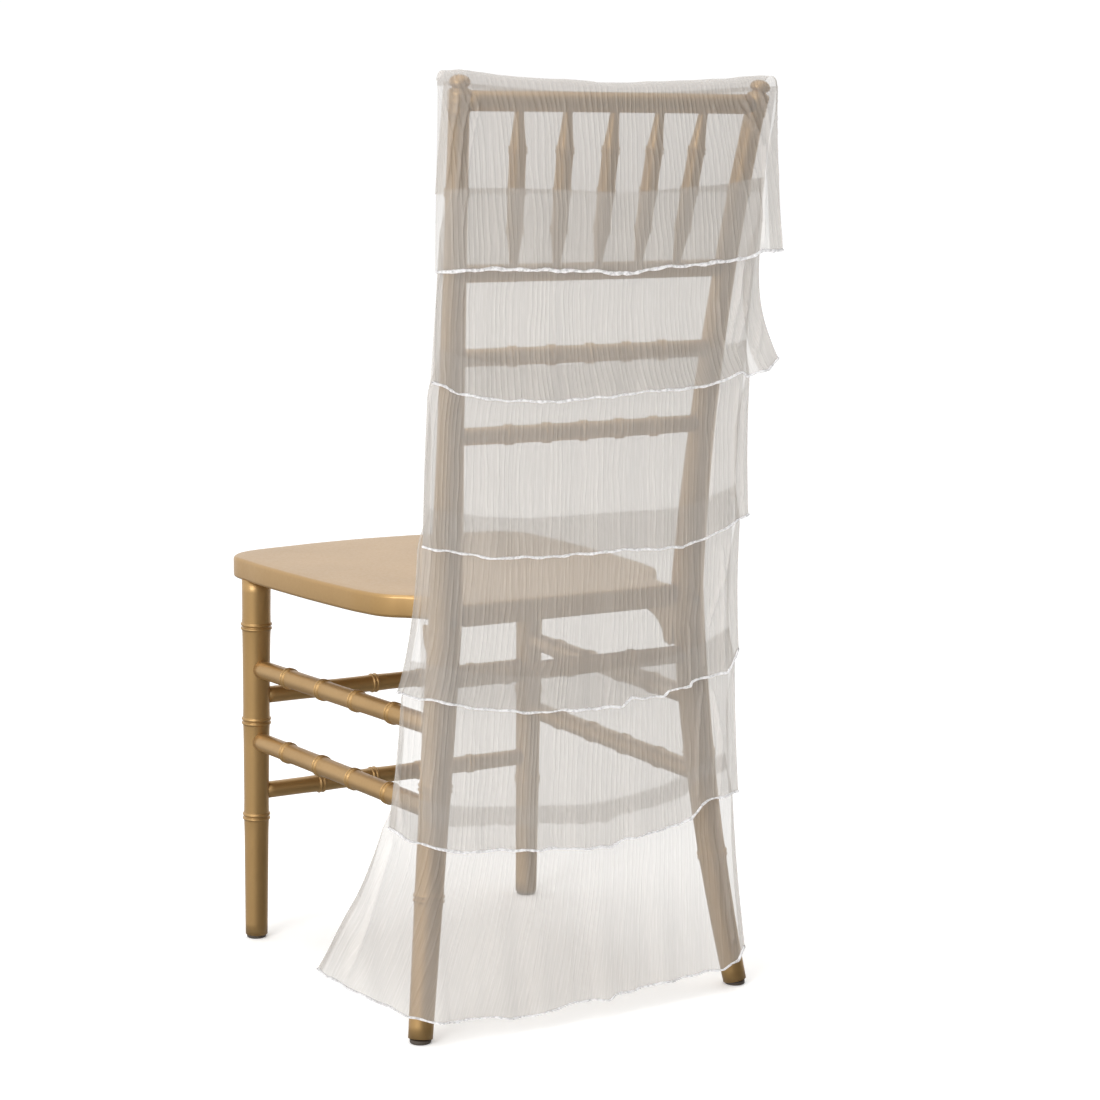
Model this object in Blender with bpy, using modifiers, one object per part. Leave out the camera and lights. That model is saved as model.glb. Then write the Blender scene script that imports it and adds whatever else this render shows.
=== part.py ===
"""A gold chiavari chair, plain, with a tiered sheer cover hung over its back.

Metres, +Z up. The chair faces -Y and the sitter's left hand is at +X. While the pieces are made, z = 0
is the floor, x = 0 is the middle of the chair and y = 0 is where the back posts pass the seat. At the
end everything moves together, so that the origin is the bottom centre of the box round the whole.
"""

import bmesh
import bpy
import math
from mathutils import Vector

# Chair, driving sizes
CHAIR_HEIGHT = 0.920
SEAT_TOP = 0.420
SEAT_THICK = 0.023
SEAT_ROUND = 0.005
POST_HALF_GAP = 0.1391
GLIDE_HEIGHT = 0.004
GLIDE_RADIUS = 0.0105
TOUCH_GAP = 0.0003
LEVEL_END = 0.0030

# How far a back post leans out and back from its bend at the seat: linear and square terms
POST_UP_OUT = (0.0062, 0.0212)
POST_UP_BACK = (0.0421, 0.0380)
POST_DOWN_OUT = (0.0256, 0.0202)
POST_DOWN_BACK = (-0.0079, 0.0357)
POST_STATIONS_BELOW = 7
POST_STATIONS_ABOVE = 8

# Radius of a back post by height: (height, radius)
POST_RADII = [
    (0.000, 0.0120),
    (0.140, 0.0140),
    (0.300, 0.0160),
    (0.420, 0.01625),
    (0.580, 0.0130),
    (0.740, 0.0110),
    (0.912, 0.0095),
    (CHAIR_HEIGHT, 0.0060),
]

# Front legs lean a little: foot and top centres, and the radii there
FRONT_LEG_FOOT = (0.1711, -0.3774)
FRONT_LEG_TOP = (0.1701, -0.3667)
FRONT_LEG_RADII = (0.0120, 0.0155)

# Rails across the back: (name, height, radius)
BACK_RAILS = [
    ("top_rail", 0.8970, 0.0095),
    ("back_rail_1", 0.7390, 0.0085),
    ("back_rail_2", 0.6595, 0.0085),
    ("back_rail_3", 0.5840, 0.0085),
]

# Stretchers: heights by side, and radii
SIDE_STRETCHER_HEIGHTS = (0.301, 0.221)
SIDE_STRETCHER_RADIUS = 0.0098
FRONT_STRETCHER_HEIGHTS = (0.270, 0.164)
FRONT_STRETCHER_RADIUS = 0.0090
REAR_STRETCHER_HEIGHT = 0.347
REAR_STRETCHER_RADIUS = 0.0090

# The rails across the back bow backwards this far in the middle
BACK_BOW = 0.0060
RAIL_STEPS = 6

# Spindles: spacing on the lower and upper rail as a share of the post spacing, and their profile
# from the lower end to the upper: (share of the length, radius)
SPINDLE_COUNT = 5
SPINDLE_SPACING = (0.300, 0.312)
SPINDLE_PROFILE = [
    (0.00, 0.0040),
    (0.10, 0.0056),
    (0.22, 0.0076),
    (0.48, 0.0080),
    (0.755, 0.0078),
    (0.88, 0.0058),
    (1.00, 0.0044),
]
SPINDLE_END_GAP = 0.0005

# Seat outline, right half from the front centre to the rear centre: (x, y)
SEAT_OUTLINE = [
    (0.0000, -0.4480),
    (0.0620, -0.4440),
    (0.1030, -0.4375),
    (0.1410, -0.4310),
    (0.1640, -0.4210),
    (0.1780, -0.4060),
    (0.1840, -0.3900),
    (0.1850, -0.3610),
    (0.1850, -0.3120),
    (0.1810, -0.2230),
    (0.1740, -0.1450),
    (0.1680, -0.1130),
    (0.1650, -0.0910),
    (0.1390, -0.0660),
    (0.1320, -0.0560),
    (0.1220, -0.0200),
    (0.1215, 0.0030),
]

# Seat brackets, seen from the side: (y, z), under the seat in front of each back post. The right one is
# a long curved bracket and the left one a short block.
BRACKET_THICK = 0.016
BRACKET_OUTLINES = {
    "right": [
        (-0.0168, 0.3560),
        (-0.0290, 0.3560),
        (-0.0330, 0.3680),
        (-0.0440, 0.3790),
        (-0.0620, 0.3860),
        (-0.0900, 0.3900),
        (-0.0900, 0.3967),
        (-0.0168, 0.3967),
    ],
    "left": [
        (-0.0168, 0.3700),
        (-0.0240, 0.3700),
        (-0.0290, 0.3780),
        (-0.0310, 0.3880),
        (-0.0310, 0.3967),
        (-0.0168, 0.3967),
    ],
}
SCREW_HEIGHT = 0.405
SCREW_RADIUS = 0.0036
SCREW_THICK = 0.0016

# Cloth, driving sizes
CLOTH_THICK = 0.0010
SHEET_GAP = 0.0005
POST_CLEARANCE = 0.0022
LINING_CLEARANCE = 0.0026
TIER_CLEARANCE = 0.0046
HEM_STAND_OFF = 0.0105
FIRST_TIER_RISE_POWER = 1.0
HEM_RISE_POWER = 2.0
COVER_TOP_MIDDLE = 0.9158
COVER_TOP_POSTS = 0.9242
ARCH_HEIGHT = 0.0080
LIP_DROP = 0.0060
PANEL_BOTTOM = 0.8200
PANEL_TOP_DROP = 0.0100
SIDE_CURL = 0.0030
SIDE_CURL_START = 0.165
SIDE_CURL_WIDTH = 0.020
SLACK_POWER = 1.6
SEAM_HOLD = 0.10
CLOTH_COLUMNS = 44
CLOTH_ROWS = 7
PANEL_ROWS = 4
PANEL_FRONT_STEPS = 22
PANEL_CORNER_STEPS = 4
PANEL_CORNER_RADIUS = 0.0100
PANEL_FOLD = 0.0010
PANEL_FOLD_WAVES = (118.0, 37.0)

# Lining: edges in x, how far its lower edge stays above the fifth tier's hem, and its rows of faces
LINING_EDGES = (0.1765, -0.1790)
LINING_LAP = 0.0230
LINING_ROWS_ABOVE_SEAT = 8
LINING_ROWS_BELOW_SEAT = 5

# Tiers. Edges are x, measured at the top and the hem; a flare power above 1 keeps the spread low down.
# The overlap is how far the tier starts above the hem of the tier before it.
TIER_COLUMNS = (
    "name", "left_top", "left_hem", "left_flare", "right_top", "right_hem", "right_flare", "overlap", "folds",
)
TIERS = [
    ("cover_tier_1", 0.1860, 0.1780, 0.8, -0.1800, -0.2082, 1.2, 0.000, 0.0010),
    ("cover_tier_2", 0.1790, 0.1782, 1.0, -0.1810, -0.2154, 4.0, 0.072, 0.0012),
    ("cover_tier_3", 0.1790, 0.1810, 1.0, -0.1850, -0.1937, 1.5, 0.034, 0.0012),
    ("cover_tier_4", 0.1820, 0.2054, 3.0, -0.1870, -0.1862, 1.0, 0.038, 0.0016),
    ("cover_tier_5", 0.1950, 0.2169, 1.3, -0.1865, -0.1852, 1.0, 0.034, 0.0016),
    ("cover_tier_6", 0.2120, 0.2986, 1.5, -0.1810, -0.1870, 1.0, 0.042, 0.0022),
]

# Height of each tier's hem at shares of the way from its left edge to its right edge
HEM_SHARES = (0.0, 0.08, 0.20, 0.35, 0.50, 0.65, 0.80, 0.90, 1.0)
HEM_HEIGHTS = {
    "cover_tier_1": (0.741, 0.743, 0.743, 0.740, 0.737, 0.742, 0.745, 0.751, 0.756),
    "cover_tier_2": (0.640, 0.627, 0.619, 0.616, 0.618, 0.622, 0.625, 0.632, 0.648),
    "cover_tier_3": (0.484, 0.478, 0.468, 0.464, 0.464, 0.464, 0.464, 0.475, 0.490),
    "cover_tier_4": (0.346, 0.336, 0.323, 0.313, 0.310, 0.310, 0.319, 0.326, 0.352),
    "cover_tier_5": (0.216, 0.198, 0.184, 0.175, 0.171, 0.172, 0.179, 0.202, 0.204),
    "cover_tier_6": (0.094, 0.066, 0.033, 0.021, 0.015, 0.016, 0.023, 0.025, 0.042),
}
HEM_WAVE = 0.0012
HEM_WAVES_ACROSS = (61.0, 23.0)

# Upright folds: (waves in radians a metre, size, shift from one tier to the next)
FOLD_WAVES = [
    (96.0, 1.0, 1.9),
    (171.0, 0.6, 4.4),
    (57.0, 0.4, -1.9),
]
FOLD_RISE_POWER = 1.4
FOLD_INWARD_LIMIT = 0.7

# Sides of the short front panel where they turn back round the posts: (height, left x, right x)
PANEL_SIDES = [
    (0.800, 0.1765, -0.1800),
    (0.880, 0.1785, -0.1795),
    (0.930, 0.1800, -0.1800),
]

# Colours, linear RGB
GOLD = (0.38, 0.24, 0.09, 1.0)
DARK = (0.06, 0.05, 0.04, 1.0)
SHEER = (0.78, 0.75, 0.70, 1.0)


def clear_scene():
    for thing in list(bpy.data.objects):
        bpy.data.objects.remove(thing, do_unlink=True)


def make_material(name, colour, roughness, metallic):
    material = bpy.data.materials.new(name)
    material.use_nodes = True
    surface = material.node_tree.nodes["Principled BSDF"]
    surface.inputs["Base Color"].default_value = colour
    surface.inputs["Roughness"].default_value = roughness
    surface.inputs["Metallic"].default_value = metallic
    return material


def between(rows, key, column):
    """Value of one column of a table, read between its rows by the first column."""
    if key <= rows[0][0]:
        return rows[0][column]
    for low, high in zip(rows, rows[1:]):
        if key <= high[0]:
            share = (key - low[0]) / (high[0] - low[0])
            return low[column] + (high[column] - low[column]) * share
    return rows[-1][column]


def post_out(z):
    """Distance of a back post's centre line from the middle of the chair."""
    if z >= SEAT_TOP:
        t = (z - SEAT_TOP) / (CHAIR_HEIGHT - SEAT_TOP)
        return POST_HALF_GAP + POST_UP_OUT[0] * t + POST_UP_OUT[1] * t * t
    t = (SEAT_TOP - z) / SEAT_TOP
    return POST_HALF_GAP + POST_DOWN_OUT[0] * t + POST_DOWN_OUT[1] * t * t


def post_back(z):
    """How far back a post's centre line lies at a height."""
    if z >= SEAT_TOP:
        t = (z - SEAT_TOP) / (CHAIR_HEIGHT - SEAT_TOP)
        return POST_UP_BACK[0] * t + POST_UP_BACK[1] * t * t
    t = (SEAT_TOP - z) / SEAT_TOP
    return POST_DOWN_BACK[0] * t + POST_DOWN_BACK[1] * t * t


def post_radius(z):
    return between(POST_RADII, z, 1)


def front_leg_centre(z):
    t = z / (SEAT_TOP - SEAT_THICK)
    x = FRONT_LEG_FOOT[0] + (FRONT_LEG_TOP[0] - FRONT_LEG_FOOT[0]) * t
    y = FRONT_LEG_FOOT[1] + (FRONT_LEG_TOP[1] - FRONT_LEG_FOOT[1]) * t
    return x, y


def front_leg_radius(z):
    t = z / (SEAT_TOP - SEAT_THICK)
    return FRONT_LEG_RADII[0] + (FRONT_LEG_RADII[1] - FRONT_LEG_RADII[0]) * t


def add_turned(name, points, radii, material, collection, resolution):
    """A turned member: a poly curve with a round bevel, its radius set at each point."""
    widest = max(radii)
    curve = bpy.data.curves.new(name, "CURVE")
    curve.dimensions = "3D"
    curve.bevel_depth = widest
    curve.bevel_resolution = resolution
    curve.use_fill_caps = True
    spline = curve.splines.new("POLY")
    spline.points.add(len(points) - 1)
    for knot, place, radius in zip(spline.points, points, radii):
        knot.co = (place[0], place[1], place[2], 1.0)
        knot.radius = radius / widest
    curve.materials.append(material)
    member = bpy.data.objects.new(name, curve)
    collection.objects.link(member)
    return member


def add_back_post(name, side, material, collection):
    """One back post, from its glide up to its rounded tip, cut level at the foot."""
    low = GLIDE_HEIGHT + TOUCH_GAP
    tip = POST_RADII[-2][0]
    heights = [low + (SEAT_TOP - low) * i / POST_STATIONS_BELOW for i in range(POST_STATIONS_BELOW)]
    heights += [SEAT_TOP + (tip - SEAT_TOP) * i / POST_STATIONS_ABOVE for i in range(POST_STATIONS_ABOVE + 1)]
    heights.append(CHAIR_HEIGHT)
    points = [(side * post_out(z), post_back(z), z) for z in heights]
    radii = [post_radius(z) for z in heights]
    points.insert(1, (points[0][0], points[0][1], low + LEVEL_END))
    radii.insert(1, radii[0])
    return add_turned(name, points, radii, material, collection, 4)


def add_front_leg(name, side, material, collection):
    """One front leg, from its glide up to the underside of the seat, cut level at both ends."""
    low = GLIDE_HEIGHT + TOUCH_GAP
    high = SEAT_TOP - SEAT_THICK - TOUCH_GAP
    points = []
    radii = []
    for end, inward in ((low, LEVEL_END), (high, -LEVEL_END)):
        x, y = front_leg_centre(end)
        points.extend([(side * x, y, end), (side * x, y, end + inward)])
        radii.extend([front_leg_radius(end)] * 2)
    points[2:] = reversed(points[2:])
    return add_turned(name, points, radii, material, collection, 4)


def inner_face_of_posts(z, radius):
    """Half length of a rail between the back posts, clear of the posts over the rail's own height."""
    faces = [post_out(h) - post_radius(h) for h in (z - radius, z, z + radius)]
    return min(faces) - TOUCH_GAP


def back_bow(x):
    """How far the rails, and the cloth on them, bow back behind the line of the posts."""
    share = min(1.0, abs(x) / POST_HALF_GAP)
    return BACK_BOW * (1 - share * share)


def add_rail(name, z, radius, material, collection):
    """A slightly bowed rail between the back posts."""
    half = inner_face_of_posts(z, radius)
    places = [half * (2 * step / RAIL_STEPS - 1) for step in range(RAIL_STEPS + 1)]
    points = [(x, post_back(z) + back_bow(x), z) for x in places]
    return add_turned(name, points, [radius] * len(points), material, collection, 3)


def add_rear_stretcher(material, collection):
    z = REAR_STRETCHER_HEIGHT
    radius = REAR_STRETCHER_RADIUS
    half = inner_face_of_posts(z, radius)
    points = [(-half, post_back(z), z), (half, post_back(z), z)]
    return add_turned("rear_stretcher", points, [radius, radius], material, collection, 3)


def add_front_stretcher(name, z, radius, material, collection):
    x, y = front_leg_centre(z)
    half = x - front_leg_radius(z + radius) - TOUCH_GAP
    return add_turned(name, [(-half, y, z), (half, y, z)], [radius, radius], material, collection, 3)


def add_side_stretcher(name, side, z, radius, material, collection):
    """A stretcher from a front leg to the back post on the same side."""
    leg_x, leg_y = front_leg_centre(z)
    front = Vector((side * leg_x, leg_y, z))
    back = Vector((side * post_out(z), post_back(z), z))
    along = (back - front).normalized()
    slack = 2 * TOUCH_GAP
    start = front + along * (front_leg_radius(z + radius) + slack)
    end = back - along * (post_radius(z + radius) + slack)
    return add_turned(name, [start, end], [radius, radius], material, collection, 3)


def add_spindle(name, step, material, collection):
    """One lens-shaped spindle between the first back rail and the top rail; step 0 is the middle one."""
    top_name, top_z, top_r = BACK_RAILS[0]
    low_name, low_z, low_r = BACK_RAILS[1]
    low_x = step * SPINDLE_SPACING[0] * post_out(low_z)
    top_x = step * SPINDLE_SPACING[1] * post_out(top_z)
    low = Vector((low_x, post_back(low_z) + back_bow(low_x), low_z))
    top = Vector((top_x, post_back(top_z) + back_bow(top_x), top_z))
    along = (top - low).normalized()
    start = low + along * (low_r + SPINDLE_END_GAP)
    end = top - along * (top_r + SPINDLE_END_GAP)
    points = [start.lerp(end, part) for part, radius in SPINDLE_PROFILE]
    radii = [radius for part, radius in SPINDLE_PROFILE]
    return add_turned(name, points, radii, material, collection, 2)


def add_plate(name, outline, thick, rounding, material, collection):
    """A flat piece: a filled 2D outline in its own XY plane, given its thickness and rounded edges."""
    curve = bpy.data.curves.new(name, "CURVE")
    curve.dimensions = "2D"
    curve.fill_mode = "BOTH"
    curve.extrude = thick / 2
    spline = curve.splines.new("POLY")
    spline.points.add(len(outline) - 1)
    for knot, (x, y) in zip(spline.points, outline):
        knot.co = (x, y, 0.0, 1.0)
    spline.use_cyclic_u = True
    flat = bpy.data.objects.new(name + "_outline", curve)
    collection.objects.link(flat)
    graph = bpy.context.evaluated_depsgraph_get()
    mesh = bpy.data.meshes.new_from_object(flat.evaluated_get(graph))
    bpy.data.objects.remove(flat, do_unlink=True)
    shape = bmesh.new()
    shape.from_mesh(mesh)
    bmesh.ops.remove_doubles(shape, verts=shape.verts, dist=0.00005)
    bmesh.ops.recalc_face_normals(shape, faces=shape.faces)
    shape.to_mesh(mesh)
    shape.free()
    mesh.name = name
    mesh.materials.clear()
    mesh.materials.append(material)
    plate = bpy.data.objects.new(name, mesh)
    collection.objects.link(plate)
    if rounding > 0:
        bevel = plate.modifiers.new("rounded_edges", "BEVEL")
        bevel.width = rounding
        bevel.segments = 2
        bevel.limit_method = "ANGLE"
        bevel.angle_limit = math.radians(60)
    return plate


def add_seat(material, collection):
    """The seat board, mirrored about the middle of the chair."""
    right = SEAT_OUTLINE
    left = [(-x, y) for x, y in reversed(SEAT_OUTLINE[1:])]
    seat = add_plate("seat", right + left, SEAT_THICK, SEAT_ROUND, material, collection)
    seat.location = (0.0, 0.0, SEAT_TOP - SEAT_THICK / 2)
    return seat


def add_bracket(name, outline, side, material, collection):
    """The shaped block under the seat in front of a back post."""
    bracket = add_plate(name, outline, BRACKET_THICK, 0.0, material, collection)
    # The outline's own axes are world y and z, so the plate is turned to stand across x
    bracket.rotation_euler = (math.radians(90), 0.0, math.radians(90))
    bracket.location = (side * POST_HALF_GAP, 0.0, 0.0)
    return bracket


def add_disc(name, radius, thick, place, turn, material, collection):
    shape = bmesh.new()
    bmesh.ops.create_cone(
        shape, cap_ends=True, segments=16, radius1=radius, radius2=radius, depth=thick,
    )
    mesh = bpy.data.meshes.new(name)
    shape.to_mesh(mesh)
    shape.free()
    mesh.materials.append(material)
    disc = bpy.data.objects.new(name, mesh)
    disc.location = place
    disc.rotation_euler = turn
    collection.objects.link(disc)
    return disc


def back_face(z):
    """The plane just touching the backs of the two posts at a height."""
    return post_back(z) + post_radius(z)


def cover_top(x):
    """Top edge of the cover: held up by the post tops, with a slack run between them."""
    share = min(1.0, abs(x) / post_out(CHAIR_HEIGHT))
    return COVER_TOP_MIDDLE + (COVER_TOP_POSTS - COVER_TOP_MIDDLE) * share ** SLACK_POWER


def side_curl(x):
    """The cloth turns a little forward outside the posts."""
    share = min(1.0, max(0.0, (abs(x) - SIDE_CURL_START) / SIDE_CURL_WIDTH))
    return -SIDE_CURL * share * share * (3 - 2 * share)


def folds(index, x, v, depth):
    """Soft upright folds that open out towards the hem."""
    wave = sum(size * math.sin(x * pitch + shift * index) for pitch, size, shift in FOLD_WAVES)
    return depth * max(v ** FOLD_RISE_POWER * wave, -FOLD_INWARD_LIMIT)


class Tier:
    """One tier of the cover, worked out from its row in the table."""

    def __init__(self, index, outer):
        row = dict(zip(TIER_COLUMNS, TIERS[index]))
        self.index = index
        self.name = row["name"]
        self.row = row
        self.outer = outer
        self.heights = HEM_HEIGHTS[self.name]

    def hem_height(self, share):
        rows = list(zip(HEM_SHARES, self.heights))
        fine, broad = HEM_WAVES_ACROSS
        wave = math.sin(share * fine + self.index) * math.sin(share * broad + 2 * self.index)
        return between(rows, share, 1) + HEM_WAVE * wave

    def edge(self, side, v):
        top, hem, power = (self.row[side + part] for part in ("_top", "_hem", "_flare"))
        return top + (hem - top) * v ** power

    def x_at(self, share, v):
        left = self.edge("left", v)
        return left + (self.edge("right", v) - left) * share

    def top_height(self, share):
        x = self.x_at(share, 0.0)
        if self.outer is None:
            return cover_top(x) - ARCH_HEIGHT
        return self.outer.hem_height(self.outer.share_of(x, 1.0)) + self.row["overlap"]

    def share_of(self, x, v):
        left = self.edge("left", v)
        return min(1.0, max(0.0, (x - left) / (self.edge("right", v) - left)))

    def stand_off(self, v):
        """Clearance of the cloth's inner face behind the posts, growing towards the hem."""
        if self.outer is None:
            return POST_CLEARANCE + (HEM_STAND_OFF - POST_CLEARANCE) * v ** FIRST_TIER_RISE_POWER
        return TIER_CLEARANCE + (HEM_STAND_OFF - TIER_CLEARANCE) * v ** HEM_RISE_POWER

    def y_at(self, x, z, v):
        """Inner face of the cloth."""
        loose = folds(self.index, x, v, self.row["folds"])
        return back_face(z) + back_bow(x) + side_curl(x) + self.stand_off(v) + loose

    def y_near(self, x, z):
        """Inner face of the cloth at a place given by x and height."""
        share = self.share_of(x, 0.7)
        top = self.top_height(share)
        v = min(1.0, max(0.0, (top - z) / (top - self.hem_height(share))))
        return self.y_at(x, z, v)

    def point(self, share, v):
        """A point of the inner face, share of the way across and v of the way down."""
        x = self.x_at(share, v)
        top = self.top_height(share)
        z = top + (self.hem_height(share) - top) * v
        y = self.y_at(x, z, v)
        if self.outer is not None:
            seam = self.outer.y_near(x, z) - CLOTH_THICK - SHEET_GAP
            hold = max(0.0, 1.0 - v / SEAM_HOLD)
            y += (max(seam, y) - y) * hold
        return Vector((x, y, z))

    def over_the_top(self, share, turn):
        """The fold over the chair back; turn 0 is at the front seam and 1 where the back begins."""
        x = self.x_at(share, 0.0)
        crest = cover_top(x)
        back = self.point(share, 0.0)
        front_y = front_panel_y(back.z) - CLOTH_THICK - SHEET_GAP
        middle = (back.y + front_y) / 2
        half = (back.y - front_y) / 2
        angle = math.pi * turn
        return Vector((x, middle - half * math.cos(angle), crest - ARCH_HEIGHT * (1 - math.sin(angle))))

    def front_lip(self, share):
        """Lower edge of the part that laps over the front panel."""
        edge = self.over_the_top(share, 0.0)
        lean = front_panel_y(edge.z) - front_panel_y(edge.z - LIP_DROP)
        return Vector((edge.x, edge.y - lean, edge.z - LIP_DROP))


def front_panel_y(z):
    """Outer face of the front panel, in front of the posts."""
    return post_back(z) - post_radius(z) - POST_CLEARANCE - CLOTH_THICK


def shape_sheet(name, columns, rows, place, side, material, collection):
    """A cloth sheet: a grid laid out by place(share across, share down), thickened to one side."""
    grid = bmesh.new()
    bmesh.ops.create_grid(grid, x_segments=columns, y_segments=rows, size=1.0)
    for vertex in grid.verts:
        across = (vertex.co.x + 1) / 2
        down = (1 - vertex.co.y) / 2
        vertex.co = place(across, down)
    mesh = bpy.data.meshes.new(name)
    grid.to_mesh(mesh)
    grid.free()
    mesh.materials.append(material)
    for face in mesh.polygons:
        face.use_smooth = True
    sheet = bpy.data.objects.new(name, mesh)
    collection.objects.link(sheet)
    thicken = sheet.modifiers.new("cloth_thickness", "SOLIDIFY")
    thicken.thickness = CLOTH_THICK
    thicken.offset = side
    return sheet


def add_tier(tier, material, collection):
    """One tier. The first also folds over the chair back to its front seam."""
    if tier.outer is not None:
        return shape_sheet(tier.name, CLOTH_COLUMNS, CLOTH_ROWS, tier.point, 1.0, material, collection)
    top_rows = 7
    rows = CLOTH_ROWS + top_rows

    def place(across, down):
        step = down * rows
        if step < 0.5:
            return tier.front_lip(across)
        if step < top_rows - 0.5:
            return tier.over_the_top(across, (step - 1) / (top_rows - 1))
        return tier.point(across, (step - top_rows) / CLOTH_ROWS)

    return shape_sheet(tier.name, CLOTH_COLUMNS, rows, place, 1.0, material, collection)


def panel_outline(z, loose):
    """The front panel in plan, inner face: left side, round the corner, across the front, right side.

    Its upright folds grow with loose, from 0 at the top seam to 1 at the hem.
    """
    left = between(PANEL_SIDES, z, 1)
    right = between(PANEL_SIDES, z, 2)
    rear = back_face(z) + POST_CLEARANCE - SIDE_CURL - SHEET_GAP
    front = front_panel_y(z) + CLOTH_THICK
    turns = [math.pi / 2 * i / PANEL_CORNER_STEPS for i in range(PANEL_CORNER_STEPS + 1)]
    round_off = PANEL_CORNER_RADIUS
    centre_y = front + round_off
    outline = [(left, rear), (left, (rear + centre_y) / 2)]
    for turn in turns:
        x = left - round_off * (1 - math.cos(turn))
        outline.append((x, centre_y - round_off * math.sin(turn)))
    first = left - round_off
    last = right + round_off
    for step in range(1, PANEL_FRONT_STEPS):
        x = first + (last - first) * step / PANEL_FRONT_STEPS
        fine, broad = PANEL_FOLD_WAVES
        fold = PANEL_FOLD * loose * (1 + math.sin(x * fine)) * abs(math.sin(x * broad + 1))
        outline.append((x, front - fold))
    for turn in reversed(turns):
        x = right + round_off * (1 - math.cos(turn))
        outline.append((x, centre_y - round_off * math.sin(turn)))
    outline.extend([(right, (rear + centre_y) / 2), (right, rear)])
    return outline


def add_front_panel(material, collection):
    """The short front layer, a shallow trough whose sides turn back round the posts."""
    columns = len(panel_outline(CHAIR_HEIGHT, 0)) - 1

    def place(across, down):
        step = round(across * columns)
        x, y = panel_outline(CHAIR_HEIGHT, 0)[step]
        top = cover_top(x) - PANEL_TOP_DROP
        z = top + (PANEL_BOTTOM - top) * down
        x, y = panel_outline(z, down)[step]
        return Vector((x, y, z))

    return shape_sheet("cover_front_panel", columns, PANEL_ROWS, place, -1.0, material, collection)


def add_lining(second, fifth, material, collection):
    """The plain sheet next to the chair back that the tiers below the first are sewn on."""
    rows = LINING_ROWS_ABOVE_SEAT + LINING_ROWS_BELOW_SEAT
    left, right = LINING_EDGES

    def place(across, down):
        x = left + (right - left) * across
        top = second.top_height(second.share_of(x, 0.0))
        low = fifth.hem_height(fifth.share_of(x, 1.0)) + LINING_LAP
        step = round(down * rows)
        if step <= LINING_ROWS_ABOVE_SEAT:
            z = top + (SEAT_TOP - top) * step / LINING_ROWS_ABOVE_SEAT
        else:
            z = SEAT_TOP + (low - SEAT_TOP) * (step - LINING_ROWS_ABOVE_SEAT) / LINING_ROWS_BELOW_SEAT
        y = back_face(z) + back_bow(x) + side_curl(x) + LINING_CLEARANCE
        return Vector((x, y, z))

    return shape_sheet("cover_lining", CLOTH_COLUMNS, rows, place, 1.0, material, collection)


def centre_on_origin(collection):
    """Move everything so that the origin is the bottom centre of the box round the whole."""
    graph = bpy.context.evaluated_depsgraph_get()
    graph.update()
    corners = []
    for thing in collection.objects:
        mesh = thing.evaluated_get(graph).to_mesh()
        corners.extend(thing.matrix_world @ vertex.co for vertex in mesh.vertices)
        thing.evaluated_get(graph).to_mesh_clear()
    low = [min(corner[axis] for corner in corners) for axis in range(3)]
    high = [max(corner[axis] for corner in corners) for axis in range(3)]
    frame = bpy.data.objects.new("chair_with_cover", None)
    collection.objects.link(frame)
    for thing in collection.objects:
        if thing is not frame:
            thing.parent = frame
    frame.location = (-(low[0] + high[0]) / 2, -(low[1] + high[1]) / 2, -low[2])
    print("moved by", [round(value, 5) for value in frame.location])


def build_chair(collection):
    gold = make_material("gold_paint", GOLD, 0.42, 0.55)
    dark = make_material("glide_plastic", DARK, 0.5, 0.0)
    for label, side in (("left", 1), ("right", -1)):
        add_back_post("back_post_" + label, side, gold, collection)
        add_front_leg("front_leg_" + label, side, gold, collection)
        add_bracket("seat_bracket_" + label, BRACKET_OUTLINES[label], side, gold, collection)
        for number, z in enumerate(SIDE_STRETCHER_HEIGHTS, 1):
            name = "side_stretcher_%s_%d" % (label, number)
            add_side_stretcher(name, side, z, SIDE_STRETCHER_RADIUS, gold, collection)
        feet = {
            "back": (side * post_out(GLIDE_HEIGHT), post_back(GLIDE_HEIGHT)),
            "front": (side * FRONT_LEG_FOOT[0], FRONT_LEG_FOOT[1]),
        }
        for end, (x, y) in feet.items():
            name = "glide_%s_%s" % (end, label)
            place = (x, y, GLIDE_HEIGHT / 2)
            add_disc(name, GLIDE_RADIUS, GLIDE_HEIGHT, place, (0, 0, 0), dark, collection)
        head_y = back_face(SCREW_HEIGHT) + 2 * TOUCH_GAP + SCREW_THICK / 2
        place = (side * post_out(SCREW_HEIGHT), head_y, SCREW_HEIGHT)
        lying = (math.radians(90), 0, 0)
        add_disc("seat_screw_" + label, SCREW_RADIUS, SCREW_THICK, place, lying, dark, collection)
    for name, z, radius in BACK_RAILS:
        add_rail(name, z, radius, gold, collection)
    add_rear_stretcher(gold, collection)
    for number, z in enumerate(FRONT_STRETCHER_HEIGHTS, 1):
        add_front_stretcher("front_stretcher_%d" % number, z, FRONT_STRETCHER_RADIUS, gold, collection)
    for number in range(SPINDLE_COUNT):
        step = number - (SPINDLE_COUNT - 1) / 2
        add_spindle("spindle_%d" % (number + 1), step, gold, collection)
    add_seat(gold, collection)


def build_cover(collection):
    sheer = make_material("sheer_cloth", SHEER, 0.85, 0.0)
    add_front_panel(sheer, collection)
    tiers = []
    for index in range(len(TIERS)):
        tier = Tier(index, tiers[-1] if tiers else None)
        add_tier(tier, sheer, collection)
        tiers.append(tier)
    add_lining(tiers[1], tiers[4], sheer, collection)


def main():
    clear_scene()
    collection = bpy.data.collections.new("chiavari_chair_with_cover")
    bpy.context.scene.collection.children.link(collection)
    build_chair(collection)
    build_cover(collection)
    centre_on_origin(collection)


main()
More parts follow.
